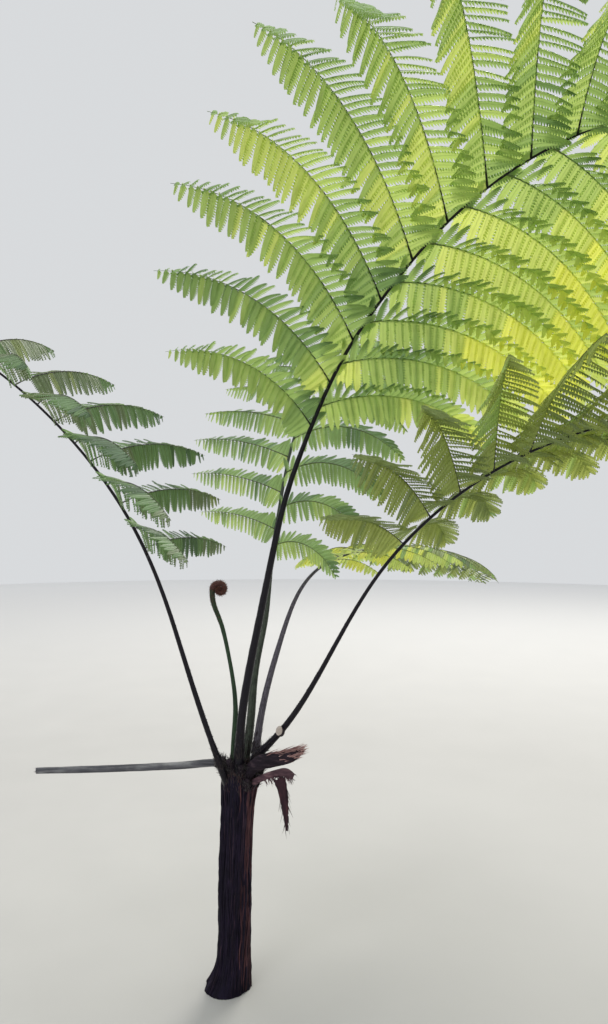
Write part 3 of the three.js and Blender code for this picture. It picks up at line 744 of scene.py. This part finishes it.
def stalk_and_midrib(f, points, material_low, material_high, slot):
    """The stalk from inside the crown to the blade, and the midrib on to the tip, grooved above."""
    name = f["name"]
    bare = f["bare"]

    def ring_set(us, root):
        P = at(points, us)
        T, S, N = axes(f, us)
        R = midrib_radius(f, us)
        if root:
            Q = np.array(f["root"]) * MM
            extra = np.linspace(0, 1, 5)[:-1, None]
            P = np.vstack([Q * (1 - extra) + P[0] * extra, P])
            T, S, N = (np.vstack([np.repeat(v[:1], 4, 0), v]) for v in (T, S, N))
            R = np.concatenate([R[0] * np.linspace(0.92, 1.0, 5)[:-1], R])
        return P, T, S, N, R

    def skin(bag, us, root, sides, rough):
        P, T, S, N, R = ring_set(us, root)

        def shape(q, k):
            # q is measured from S towards N, so the groove lies at N
            off = np.abs((q - math.pi / 2 + math.pi) % (2 * math.pi) - math.pi)
            g = 1 - 0.13 * np.exp(-((off / 0.42) ** 2)) + 0.03 * np.exp(-(((off - 0.8) / 0.3) ** 2))
            p = P[k[:, 0]][:, None] + S[k[:, 0]][:, None] * (R[k[:, 0]][:, None] * np.cos(q))[..., None] + N[k[:, 0]][:, None] * (R[k[:, 0]][:, None] * np.sin(q))[..., None]
            return g * (1 + rough * noise_a(p, 260) + rough * 0.8 * noise_b(p, 90))

        tube(bag, P, R, sides, True, shape, (T, S, N))

    low = Bag()
    skin(low, np.linspace(0, bare, 70), True, 18, 0.035)
    # small warts, thick near the foot
    length = f["length"] * MM
    n = 420
    u = bare * rng.beta(1.0, 2.2, n)
    q = rng.uniform(0, 2 * np.pi, n)
    P, (T, S, N), R = at(points, u), axes(f, u), midrib_radius(f, u)
    out = S * np.cos(q)[:, None] + N * np.sin(q)[:, None]
    side = np.cross(T, out)
    size = rng.uniform(0.0005, 0.0012, n) * (1.15 - 0.6 * u / bare)
    V = (P + out * (R * 0.98)[:, None])[:, None] + (T[:, None] * WART[None, :, 0:1] * 1.5 + side[:, None] * WART[None, :, 1:2] + out[:, None] * WART[None, :, 2:3]) * size[:, None, None]
    low.copies(V, WART_T)
    low.piece(f"{name}_stalk_skin", material_low, slot, [f"{name}_stalk"], True)

    high = Bag()
    skin(high, np.linspace(bare, 1, 110), False, 12, 0.03)
    high.piece(f"{name}_midrib_skin", material_high, slot, [f"{name}_rachis_low", f"{name}_rachis_tip"], True)

    # scales at the foot of the stalk
    n = 200
    s = rng.beta(1.0, 4.2, n) * 0.12
    u = s / length
    q = rng.uniform(0, 2 * np.pi, n)
    P, (T, S, N), R = at(points, u), axes(f, u), midrib_radius(f, u)
    out = S * np.cos(q)[:, None] + N * np.sin(q)[:, None]
    A = T * rng.uniform(0.8, 1.1, n)[:, None] + out * rng.uniform(0.05, 0.40, n)[:, None] + rng.normal(0, 0.10, (n, 3))
    put_scales(scales_dark, P + out * (R * 0.95)[:, None] - T * 0.004, A, out, rng.uniform(0.008, 0.020, n) * (1 - 2.4 * s), rng.uniform(0.0006, 0.0014, n), rng.uniform(-0.5, 1.0, n))


for f in FRONDS:
    tint_of, m_low, m_high, slot, leaf_slot = LOOK[f["name"]]
    points = walk(f)
    stalk_and_midrib(f, points, m_low, m_high, slot)
    rows = {k: [] for k in ("O", "A", "B", "C", "L", "W", "sag", "tint", "variant")}
    dark, green = Bag(), Bag()
    for side in (0, 1):
        inner = green if f["name"] == "frond_main" and side == 0 else dark
        for x in leaflet_places(f, side):
            leaflet_rows(f, points, side, x, rows, inner, green, tint_of)
    rows = {k: np.concatenate(v) for k, v in rows.items()}
    bags, veins = {}, Bag()
    place_blades(rows, bags, veins)
    nodes = [f"{f['name']}_blade_{s}_{p}" for s in "ab" for p in f["parts"]]
    for k, t in enumerate(sorted(bags)):
        bags[t].piece(f"{f['name']}_leaflets_{t}", TINTS[t], leaf_slot, nodes if k == 0 else ())
    veins.piece(f"{f['name']}_veins", M_RIB_GREEN if f["name"] == "frond_main" else M_RIB_OLIVE, leaf_slot)
    dark.piece(f"{f['name']}_ribs_inner", M_RIB_DARK if f["name"] in ("frond_main", "frond_left", "frond_right") else M_RIB_OLIVE, slot, (), True)
    green.piece(f"{f['name']}_ribs_outer", M_RIB_GREEN if f["name"] == "frond_main" else M_RIB_OLIVE, slot, (), True)

# ------------------------------------------------------------------ trunk


def trunk_centre(z):
    zz, cx, _ = zip(*TRUNK_PROFILE)
    return np.interp(z, np.array(zz) * MM, np.array(cx) * MM)


def trunk_radius(z, q):
    zz, _, rr = zip(*TRUNK_PROFILE)
    r = np.interp(z, np.array(zz) * MM, np.array(rr) * MM)
    lobes = 1 + 0.035 * np.cos(3 * q + z / 0.130) + 0.02 * np.cos(5 * q - z / 0.090)
    foot = np.where(z < 0.06, 1 + 0.10 * (1 - z / 0.06) * np.cos(q - math.pi * 1.1), 1.0)
    return r * lobes * foot


core = Bag()
nz, nq = 200, 120
z = np.linspace(0, 0.640, nz)[:, None]
q = (2 * np.pi * np.arange(nq) / nq)[None, :]
R = trunk_radius(z, q)
p = np.stack([np.cos(q) * 3.2 + 0 * z, np.sin(q) * 3.2 + 0 * z, z * 5 + 0 * q], -1)
ridge = 1 - np.abs(noise_a(np.stack([np.cos(q) * 7 + 0 * z, np.sin(q) * 7 + 0 * z, z * 4.5 + 0 * q], -1) + 3.1))
fine = 1 - np.abs(noise_b(np.stack([np.cos(q) * 15 + 0 * z, np.sin(q) * 15 + 0 * z, z * 13 + 0 * q], -1)))
R = R * 0.955 + 0.0045 * (ridge - 0.6) + 0.0022 * (fine - 0.6) + 0.0022 * noise_b(p)
X = trunk_centre(z) + R * np.cos(q)
Y = R * np.sin(q)
grid = np.stack([X, Y, z + 0 * q], -1)
k, j = np.meshgrid(np.arange(nz - 1), np.arange(nq), indexing="ij")
a, b = k * nq + j, k * nq + (j + 1) % nq
quads = np.stack([a, b, b + nq, a + nq], -1).reshape(-1, 4)
top = np.array([trunk_centre(0.640), 0, 0.6475])
bottom = np.array([trunk_centre(0.0), 0, 0.0])
verts = np.vstack([grid.reshape(-1, 3), bottom, top])
nb, nt = nz * nq, nz * nq + 1
tris = [(nb, (i + 1) % nq, i) for i in range(nq)] + [(nt, (nz - 1) * nq + i, (nz - 1) * nq + (i + 1) % nq) for i in range(nq)]
core.add(verts, tris, quads)
core.piece("trunk_core", M_BARK, "bark", ["trunk"], True)

# matted roots that run down over the core
fibres = {"dark": Bag(), "brown": Bag(), "red": Bag()}


def root_fibre(q0, z_top, z_low, radius, out, kind, wander=1.0):
    n = max(int((z_top - z_low) / 0.022), 6)
    s = np.linspace(0, 1, n)
    zz = z_top + (z_low - z_top) * s
    ph = rng.uniform(0, 2 * np.pi, 3)
    qq = q0 + wander * (0.10 * np.sin(zz * 9 + ph[0]) + 0.05 * np.sin(zz * 23 + ph[1]) + 0.018 * np.sin(zz * 60 + ph[2]))
    rr = trunk_radius(zz, qq) * 0.985 + out * np.sin(np.pi * np.clip(s, 0.02, 0.98)) ** 0.5 - 0.0015
    rr = rr + 0.0012 * np.sin(zz * 75 + ph[1])
    P = np.stack([trunk_centre(zz) + rr * np.cos(qq), rr * np.sin(qq), zz], -1)
    taper = np.sin(np.pi * np.clip(s * 0.92 + 0.06, 0, 1)) ** 0.45
    tube(fibres[kind], P, radius * taper, 5)


for _ in range(430):
    z_top = rng.uniform(0.10, 0.655) if rng.random() < 0.7 else rng.uniform(0.45, 0.64)
    z_low = max(z_top - rng.uniform(0.10, 0.46), 0.002)
    q0 = rng.uniform(0, 2 * np.pi)
    lit = abs((q0 + 0.55 + np.pi) % (2 * np.pi) - np.pi)
    kind = "dark"
    if rng.random() < (0.22 if lit < 1.1 else 0.10):
        kind = "brown"
    if lit < 0.50 and rng.random() < 0.60:
        kind = "red"
    if z_top > 0.60 and lit < 1.2 and rng.random() < 0.30:
        kind = "red"
    root_fibre(q0, z_top, z_low, rng.uniform(0.0009, 0.0028), rng.uniform(-0.0005, 0.003), kind)

for kind, mat in (("dark", M_FIBRE_DARK), ("brown", M_FIBRE_BROWN), ("red", M_FIBRE_RED)):
    fibres[kind].piece(f"trunk_fibres_{kind}", mat, "bark", (), True)

# ------------------------------------------------------------------ crown: old leaf bases, scales


def around(P, radius, n, tight=1.0):
    q = rng.uniform(0, 2 * np.pi, n)
    return np.stack([np.cos(q), np.sin(q), 0 * q], -1)


bases = Bag()
for i in range(15):
    q0 = 2 * np.pi * (i * 0.382) + rng.normal(0, 0.12)
    z0 = 0.575 + 0.045 * ((i * 7) % 5) / 4
    r0 = float(trunk_radius(np.array(z0), np.array(q0)))
    lean = rng.uniform(0.30, 0.62)
    out = np.array([math.cos(q0), math.sin(q0), 0])
    d = unit(out * lean + np.array([0, 0, 1.0]))
    base = np.array([trunk_centre(z0), 0, z0]) + out * (r0 - 0.012)
    height = rng.uniform(0.030, 0.055)
    P = np.array([base + d * height * s + out * 0.006 * s * s for s in np.linspace(0, 1, 8)])
    rr = np.array([0.013, 0.0135, 0.013, 0.012, 0.011, 0.0105, 0.0098, 0.0085]) * rng.uniform(0.8, 1.1)
    tube(bases, P, rr, 12, True, lambda q, k: 1 + 0.12 * noise_a(np.stack([np.cos(q) * 3 + 0 * k, np.sin(q) * 3 + 0 * k, k * 0.6 + 0 * q], -1) + i), None, 0.75)
    n = 120
    s = rng.random(n)
    qq = rng.uniform(0, 2 * np.pi, n)
    T, A, B = ring_frames(P)
    idx = np.minimum((s * 7).astype(int), 7)
    o = A[idx] * np.cos(qq)[:, None] + B[idx] * (np.sin(qq) * 0.75)[:, None]
    O = P[idx] + o * (rr[idx] * 0.95)[:, None]
    put_scales(scales_red if rng.random() < 0.35 else scales_dark, O, d[None] * rng.uniform(0.6, 1.0, n)[:, None] + o * rng.uniform(0.1, 0.7, n)[:, None] + rng.normal(0, 0.12, (n, 3)), o,
               rng.uniform(0.010, 0.026, n), rng.uniform(0.0007, 0.0016, n), rng.uniform(-0.3, 1.0, n))
bases.piece("crown_leaf_bases", M_DEAD, "dead_wood", (), True)

# hairs and scales over the top of the trunk
n = 1700
zz = 0.648 - 0.10 * rng.beta(1.0, 2.8, n)
qq = rng.uniform(0, 2 * np.pi, n)
inner = zz > 0.636
rr = trunk_radius(zz, qq) * np.where(inner, rng.uniform(0.2, 0.95, n), 0.985)
O = np.stack([trunk_centre(zz) + rr * np.cos(qq), rr * np.sin(qq), zz], -1)
out = np.stack([np.cos(qq), np.sin(qq), 0 * qq], -1)
lean = np.where(zz > 0.615, 0.34, 0.12)
A = np.stack([0 * qq, 0 * qq, 0 * qq + 1], -1) * rng.uniform(0.5, 1.0, n)[:, None] + out * (rng.uniform(0.05, 1.0, n) * lean)[:, None] + rng.normal(0, 0.10, (n, 3))
L = rng.uniform(0.007, 0.020, n)
Wd = rng.uniform(0.0005, 0.0013, n)
red = rng.random(n) < 0.22
for bag, m in ((scales_red, red), (scales_dark, ~red)):
    put_scales(bag, O[m], A[m], out[m] + 0.2 * np.array([0, 0, 1]), L[m], Wd[m], rng.uniform(-0.6, 1.0, int(m.sum())))

# ------------------------------------------------------------------ young frond

c = CROZIER
points = walk(c)
us = np.linspace(0, 1, 60)
P = np.vstack([np.array(c["root"]) * MM, at(points, us)])
R = np.concatenate([[along(c["radius"], 0.0)], along(c["radius"], us)]) * MM
T = unit(np.gradient(P, axis=0))
S = np.tile([0.0, 1.0, 0.0], (len(P), 1))
N = np.cross(T, S)
young = Bag()
tube(young, P, R, 16, True, lambda q, k: (1 - 0.10 * np.exp(-(((np.abs((q - math.pi / 2 + math.pi) % (2 * math.pi) - math.pi)) / 0.45) ** 2))) * (1 + 0.03 * noise_a(np.stack([np.cos(q) * 4 + 0 * k, np.sin(q) * 4 + 0 * k, k * 0.5 + 0 * q], -1))), (T, S, N))
young.piece("young_frond_stalk_skin", M_STALK_YOUNG, "stalk_green", ["young_frond_stalk"], True)

coil = Bag()
end = points[-1]
centre = end + np.array([c["coil"] * MM, 0, 0.0007])
t = np.linspace(0, 1, 90)
ang = math.pi - 2 * math.pi * c["turns"] * t
rad = (c["inner"] + (c["coil"] - c["inner"]) * (1 - t)) * MM
C = np.stack([centre[0] + rad * np.cos(ang), centre[1] + 0 * t, centre[2] + rad * np.sin(ang)], -1)
tr = (c["tube"][0] + (c["tube"][1] - c["tube"][0]) * t) * MM
T = unit(np.gradient(C, axis=0))
Nout = unit(C - centre)
Nout = unit(Nout - T * np.sum(Nout * T, -1, keepdims=True))
B = np.cross(T, Nout)
tube(coil, C, tr, 14, True, lambda q, k: 1 + 0.05 * noise_a(np.stack([np.cos(q) * 3 + 0 * k, np.sin(q) * 3 + 0 * k, k * 0.35 + 0 * q], -1)), (T, Nout, B))
# the innermost turn closes the middle
t2 = np.linspace(0, 1, 34)
ang2 = ang[-1] - 2 * math.pi * 0.95 * t2
rad2 = (c["inner"] * (1 - t2) ** 0.8 + 0.5 * t2) * MM
C2 = np.stack([centre[0] + rad2 * np.cos(ang2), centre[1] + 0 * t2, centre[2] + rad2 * np.sin(ang2)], -1)
tube(coil, C2, (c["tube"][1] * 0.98 - 2.0 * t2) * MM, 10, True, None, (unit(np.gradient(C2, axis=0)), np.stack([np.cos(ang2), 0 * t2, np.sin(ang2)], -1), np.tile([0.0, 1.0, 0.0], (34, 1))))
# folded leaflets: small curled knobs in two rows on the coil
for sgn in (1, -1):
    for tk in np.linspace(0.05, 0.99, 22):
        i = int(tk * 89)
        rk = 0.0042 * (1 - 0.45 * tk)
        o = C[i] + B[i] * sgn * (tr[i] * 0.95) - Nout[i] * tr[i] * 0.15
        a = np.linspace(0, 2.2 * np.pi, 16)
        rs = rk * (0.95 - 0.105 * a)
        curl = o + Nout[i] * (rs * np.cos(a))[:, None] + T[i] * (rs * np.sin(a))[:, None] + B[i] * sgn * (0.0004 * a)[:, None]
        tube(coil, curl, rk * (0.50 - 0.045 * a), 7)
coil.piece("young_frond_coil_skin", M_SCALE_COIL, "young_scale", ["young_frond_coil"], True)

fuzz = Bag()
n = 2600
tk = rng.random(n) ** 0.9
i = (tk * 89).astype(int)
q = rng.uniform(0, 2 * np.pi, n)
o = Nout[i] * np.cos(q)[:, None] + B[i] * np.sin(q)[:, None]
put_scales(fuzz, C[i] + o * (tr[i] * 0.96)[:, None], T[i] * rng.choice([1.0, 0.8, -0.4], n)[:, None] + o * rng.uniform(0.1, 0.65, n)[:, None] + rng.normal(0, 0.25, (n, 3)), o,
           rng.uniform(0.003, 0.0085, n), rng.uniform(0.0003, 0.0007, n), rng.uniform(-0.8, 0.6, n))
# and on the top of its stalk
n = 500
u = 1 - 0.30 * rng.beta(1.0, 3.2, n)
q = rng.uniform(0, 2 * np.pi, n)
Pk = at(points, u)
Tk = unit(at(points, np.minimum(u + 0.01, 1)) - at(points, u - 0.01))
Sk = np.tile([0.0, 1.0, 0.0], (n, 1))
Nk = np.cross(Tk, Sk)
o = Sk * np.cos(q)[:, None] + Nk * np.sin(q)[:, None]
put_scales(fuzz, Pk + o * (along(c["radius"], u) * MM * 0.97)[:, None], Tk + o * rng.uniform(0.1, 0.8, n)[:, None] + rng.normal(0, 0.25, (n, 3)), o,
           rng.uniform(0.003, 0.006, n), rng.uniform(0.0003, 0.0006, n), rng.uniform(-0.5, 0.8, n))
fuzz.piece("young_frond_scales", M_SCALE_FUZZ, "young_scale")

# ------------------------------------------------------------------ old leaf remains


def old_part(name, n, sides, lobe=0.10, scale=60):
    o = OLD_PARTS[name]
    P = smooth_path(np.array(o["axis"]) * MM, n)
    u = np.linspace(0, 1, n)
    A = along(o["across"], u) * MM
    B = along(o["through"], u) * MM
    T, side, up = ring_frames(P)
    return P, A, B, u, (T, up, -side)


def shard(bag, root, direction, length, width, bend=0.0, sides=4):
    d = unit(direction)
    side = unit(np.cross(d, [0.3, 0.2, 1.0]))
    s = np.linspace(0, 1, 5)
    P = root + d * (length * s)[:, None] + side * (bend * length * s**2)[:, None]
    tube(bag, P, width * (1 - 0.93 * s**1.3), sides, flat=0.5)


# the torn stub on the right
P, A, B, u, fr = old_part("old_leaf_base_right", 34, 20)
stub = Bag()
rough = lambda q, k: (1 + 0.13 * (1 - 2 * np.abs(noise_a(np.stack([np.cos(q) * 3.5 + 0 * k, np.sin(q) * 3.5 + 0 * k, k * 0.16 + 0 * q], -1))))
                      + 0.05 * noise_b(np.stack([np.cos(q) * 9 + 0 * k, np.sin(q) * 9 + 0 * k, k * 0.5 + 0 * q], -1))
                      - 0.45 * np.clip((k - 26) / 8, 0, 1) * (0.5 + 0.5 * np.sin(q * 3 + 1)))
tube(stub, P, A * 0.94, 28, True, rough, fr, B / A)
stub.piece("old_stub_right_skin", M_STUB, "dead_wood", ["old_leaf_base_right"], True)
torn = Bag()
T, F1, F2 = fr
for _ in range(96):
    i = int(rng.integers(20, 33))
    q0 = rng.uniform(0, 2 * np.pi)
    o = F1[i] * math.cos(q0) * A[i] + F2[i] * math.sin(q0) * B[i]
    reach = rng.uniform(0.014, 0.042) * (1 if i > 27 else 0.8)
    start = P[i] + o * rng.uniform(0.45, 0.92)
    reach = min(reach, 0.9 * (0.214 - start[0]) + 0.006)
    shard(torn, start, T[i] + unit(o) * rng.uniform(-0.10, 0.30) + rng.normal(0, 0.07, 3), reach, rng.uniform(0.0012, 0.0040), rng.uniform(-0.2, 0.2))
for k in range(34):
    i = int(rng.integers(13, 27))
    side = rng.uniform(-0.7, 0.7)
    start = P[i] + F1[i] * A[i] * math.sqrt(1 - side * side) * rng.uniform(0.86, 0.98) + F2[i] * side * B[i] * 0.9
    reach = min(rng.uniform(0.030, 0.070), 1.15 * (0.208 - start[0]))
    shard(torn, start, T[i] + F1[i] * rng.uniform(-0.02, 0.20) + rng.normal(0, 0.03, 3), reach, rng.uniform(0.0016, 0.0034), rng.uniform(-0.06, 0.06))
torn.piece("old_stub_right_splinters", M_TORN, "dead_torn")

# the flap below it
P, A, B, u, fr = old_part("old_leaf_flap_right", 30, 16)
flap = Bag()
edge = lambda q, k: 1 + 0.10 * noise_a(np.stack([np.cos(q) * 4 + 0 * k, np.sin(q) * 4 + 0 * k, k * 0.4 + 0 * q], -1)) + 0.06 * np.cos(q * 2 + k * 0.3)
tube(flap, P, A, 20, True, edge, fr, B / A)
T, F1, F2 = fr
for _ in range(44):
    i = int(rng.integers(14, 29))
    o = F1[i] * rng.choice([-1.0, 1.0]) * A[i] * 0.85
    shard(flap, P[i] + o, T[i] + rng.normal(0, 0.12, 3) - np.array([0, 0, 0.25]), rng.uniform(0.008, 0.024), rng.uniform(0.0008, 0.0018), rng.uniform(-0.3, 0.3))
for _ in range(40):
    i = int(rng.integers(8, 28))
    start = P[i] - F1[i] * A[i] * rng.uniform(0.5, 0.95) + F2[i] * B[i] * rng.uniform(-0.6, 0.6)
    shard(flap, start, T[i] * rng.uniform(-0.2, 0.9) - np.array([0, 0, 1.0]), rng.uniform(0.010, 0.026), rng.uniform(0.0010, 0.0030), rng.uniform(-0.3, 0.3))
flap.piece("old_flap_right_skin", M_FLAP, "dead_torn", ["old_leaf_flap_right"], True)

# the hanging strip, and the fibres that still hold it
P, A, B, u, fr = old_part("old_leaf_strip_right", 40, 14)
strip = Bag()
curl = lambda q, k: 1 + 0.10 * noise_a(np.stack([np.cos(q) * 2 + 0 * k, np.sin(q) * 2 + 0 * k, k * 0.25 + 0 * q], -1)) + 0.05 * np.sin(k * 0.9 + 2 * q)
tube(strip, P, A, 20, True, curl, fr, B / A)
T, F1, F2 = fr
for _ in range(46):
    i = int(rng.integers(2, 38))
    sgn = rng.choice([-1, 1])
    shard(strip, P[i] + F2[i] * sgn * B[i] * rng.uniform(0.55, 0.95), T[i] + F2[i] * sgn * rng.uniform(0.0, 0.30), rng.uniform(0.012, 0.036), rng.uniform(0.0006, 0.0016), rng.uniform(-0.3, 0.3))
for _ in range(22):
    start = P[0] + F2[0] * rng.uniform(-1, 1) * B[0] * 0.9 + np.array([0, 0, -0.006])
    shard(strip, start, np.array([rng.uniform(-0.9, 0.5), 0.1, 1.0]), rng.uniform(0.012, 0.020), rng.uniform(0.0012, 0.0028), rng.uniform(-0.2, 0.2))
strip.piece("old_strip_right_skin", M_STRIP, "dead_strip", ["old_leaf_strip_right"], True)

# the short cut stub on the side of the right stalk: a slanting pale oval face
P, A, B, u, fr = old_part("old_leaf_stub_front", 16, 22)
T, F1, F2 = fr
sides = 26
q = 2 * np.pi * (np.arange(sides) + 0.5) / sides
V = P[:, None] + F1[:, None] * (A[:, None] * np.cos(q))[..., None] + F2[:, None] * (B[:, None] * np.sin(q))[..., None]
V += (V - P[:, None]) * (0.05 * noise_a(V, 160))[..., None]
cut_n = unit(np.array([-0.10, -0.93, 0.36]))
cut_p = P[-1] - T[-1] * 0.0035
for k in range(len(P)):
    d = (V[k] - cut_p) @ cut_n
    over = d > 0
    V[k][over] -= np.outer(d[over] / (T[-1] @ cut_n), T[-1])
front = Bag()
kk, jj = np.meshgrid(np.arange(len(P) - 1), np.arange(sides), indexing="ij")
a, b = kk * sides + jj, kk * sides + (jj + 1) % sides
front.add(np.vstack([V.reshape(-1, 3), P[0]]), [(len(P) * sides, (i + 1) % sides, i) for i in range(sides)], np.stack([a, b, b + sides, a + sides], -1).reshape(-1, 4))
front.piece("old_stub_front_skin", M_DEAD, "dead_wood", ["old_leaf_stub_front"], True)
face = Bag()
rim = V[-1]
mid = rim.mean(0)
rings = [mid + (rim - mid) * r for r in (0.99, 0.80, 0.55, 0.25)]
fv = np.vstack(rings + [mid[None]]) + cut_n * 0.0006
for m, lift in enumerate((0.0, 0.0006, 0.0003, 0.0007)):
    fv[m * sides:(m + 1) * sides] += cut_n * lift
fq = [(m * sides + i, m * sides + (i + 1) % sides, (m + 1) * sides + (i + 1) % sides, (m + 1) * sides + i) for m in range(3) for i in range(sides)]
ft = [(3 * sides + i, 3 * sides + (i + 1) % sides, 4 * sides) for i in range(sides)]
face.add(fv, ft, fq)
face.piece("old_stub_front_cut", M_CUT, "dead_torn", (), True)

# the bare old stalk on the left
P, A, B, u, fr = old_part("old_stalk_left", 90, 16)
bare_stalk = Bag()
wear = lambda q, k: (1 + 0.06 * noise_a(np.stack([np.cos(q) * 2.5 + 0 * k, np.sin(q) * 2.5 + 0 * k, k * 0.22 + 0 * q], -1))
                     + 0.05 * (1 - 2 * np.abs(noise_b(np.stack([np.cos(q) * 6 + 0 * k, np.sin(q) * 6 + 0 * k, k * 0.10 + 0 * q], -1))))
                     - 0.10 * np.exp(-(((q - 1.6) / 0.5) ** 2)))
tube(bare_stalk, P, A * 0.97, 20, True, wear, fr)
T, F1, F2 = fr
for _ in range(26):
    i = 88
    q0 = rng.uniform(0, 2 * np.pi)
    o = (F1[i] * math.cos(q0) + F2[i] * math.sin(q0)) * A[i]
    shard(bare_stalk, P[i] + o * rng.uniform(0.4, 0.9), T[i] + unit(o) * 0.1, rng.uniform(0.004, 0.016), rng.uniform(0.0008, 0.0022))
bare_stalk.piece("old_stalk_left_skin", M_GREY, "dead_grey", ["old_stalk_left"], True)

scales_dark.piece("crown_scales_dark", M_SCALE_DARK, "bark")
scales_red.piece("crown_scales_red", M_SCALE_RED, "bark")

# ------------------------------------------------------------------ floor, light, camera

fm = Shader("floor_pale")
speck = fm.noise(3.0, 4, 0.5)
far = fm.new("ShaderNodeVectorMath")
far.operation = "LENGTH"
fm.link(fm.coord, far.inputs[0])
base = fm.ramp(speck, [(0.2, srgb(174, 173, 170)), (0.8, srgb(179, 178, 175))])
fm.link(fm.mix(fm.range(far.outputs["Value"], 0.0, 1.0, 2.5, 13.0), base, srgb(226, 226, 226)), fm.bsdf.inputs["Base Color"])
fm.link(fm.range(speck, 0.62, 0.74), fm.bsdf.inputs["Roughness"])
fm.set(Specular_IOR_Level=0.2)
floor_mesh = bpy.data.meshes.new("floor")
rim = 72
circle = [(14 * math.cos(2 * math.pi * i / rim), 14 * math.sin(2 * math.pi * i / rim), 0.0) for i in range(rim)]
floor_mesh.from_pydata([(0, 0, 0)] + circle, [], [(0, 1 + i, 1 + (i + 1) % rim) for i in range(rim)])
floor_mesh.update()
floor = bpy.data.objects.new("floor", floor_mesh)
floor.location = (0, 0, -0.0005)
bpy.context.scene.collection.objects.link(floor)
floor_mesh.materials.append(fm.mat)


def area(name, place, target, size, energy, color):
    data = bpy.data.lights.new(name, "AREA")
    data.shape, data.size, data.energy, data.color = "DISK", size, energy, color
    ob = bpy.data.objects.new(name, data)
    ob.location = place
    direction = np.array(target, float) - np.array(place, float)
    ob.rotation_euler = Vector(direction.tolist()).to_track_quat("-Z", "Y").to_euler()
    bpy.context.scene.collection.objects.link(ob)


area("key_behind", (3.2, 6.4, 8.4), (0.3, -0.2, 1.4), 4.5, 760, (1.0, 0.97, 0.90))
area("soft_front", (-5.0, -8.0, 6.0), (0.1, 0.0, 1.0), 6.0, 260, (0.95, 0.97, 1.0))
area("soft_top", (-0.6, 0.0, 9.0), (0.1, -0.2, 1.0), 6.0, 260, (1.0, 1.0, 0.98))

world = bpy.data.worlds.new("studio")
world.use_nodes = True
world.node_tree.nodes["Background"].inputs["Color"].default_value = (0.86, 0.88, 0.90, 1)
world.node_tree.nodes["Background"].inputs["Strength"].default_value = 0.80
bpy.context.scene.world = world

camera = bpy.data.cameras.new("camera")
camera.sensor_width = 36.0
camera.lens = 36.0 * 800 / 1024
camera.clip_end = 100
cam = bpy.data.objects.new("camera", camera)
cam.location = (0.2, -2.32, 1.372)
cam.rotation_euler = (math.pi / 2, 0, 0)
bpy.context.scene.collection.objects.link(cam)
bpy.context.scene.camera = cam

bpy.context.scene.view_settings.view_transform = "Standard"
bpy.context.scene.view_settings.look = "None"
bpy.context.scene.view_settings.exposure = 0.0

total = sum(n for _, n in made)
print("pieces", len(made), "triangles", total, "largest", max(made, key=lambda m: m[1]))
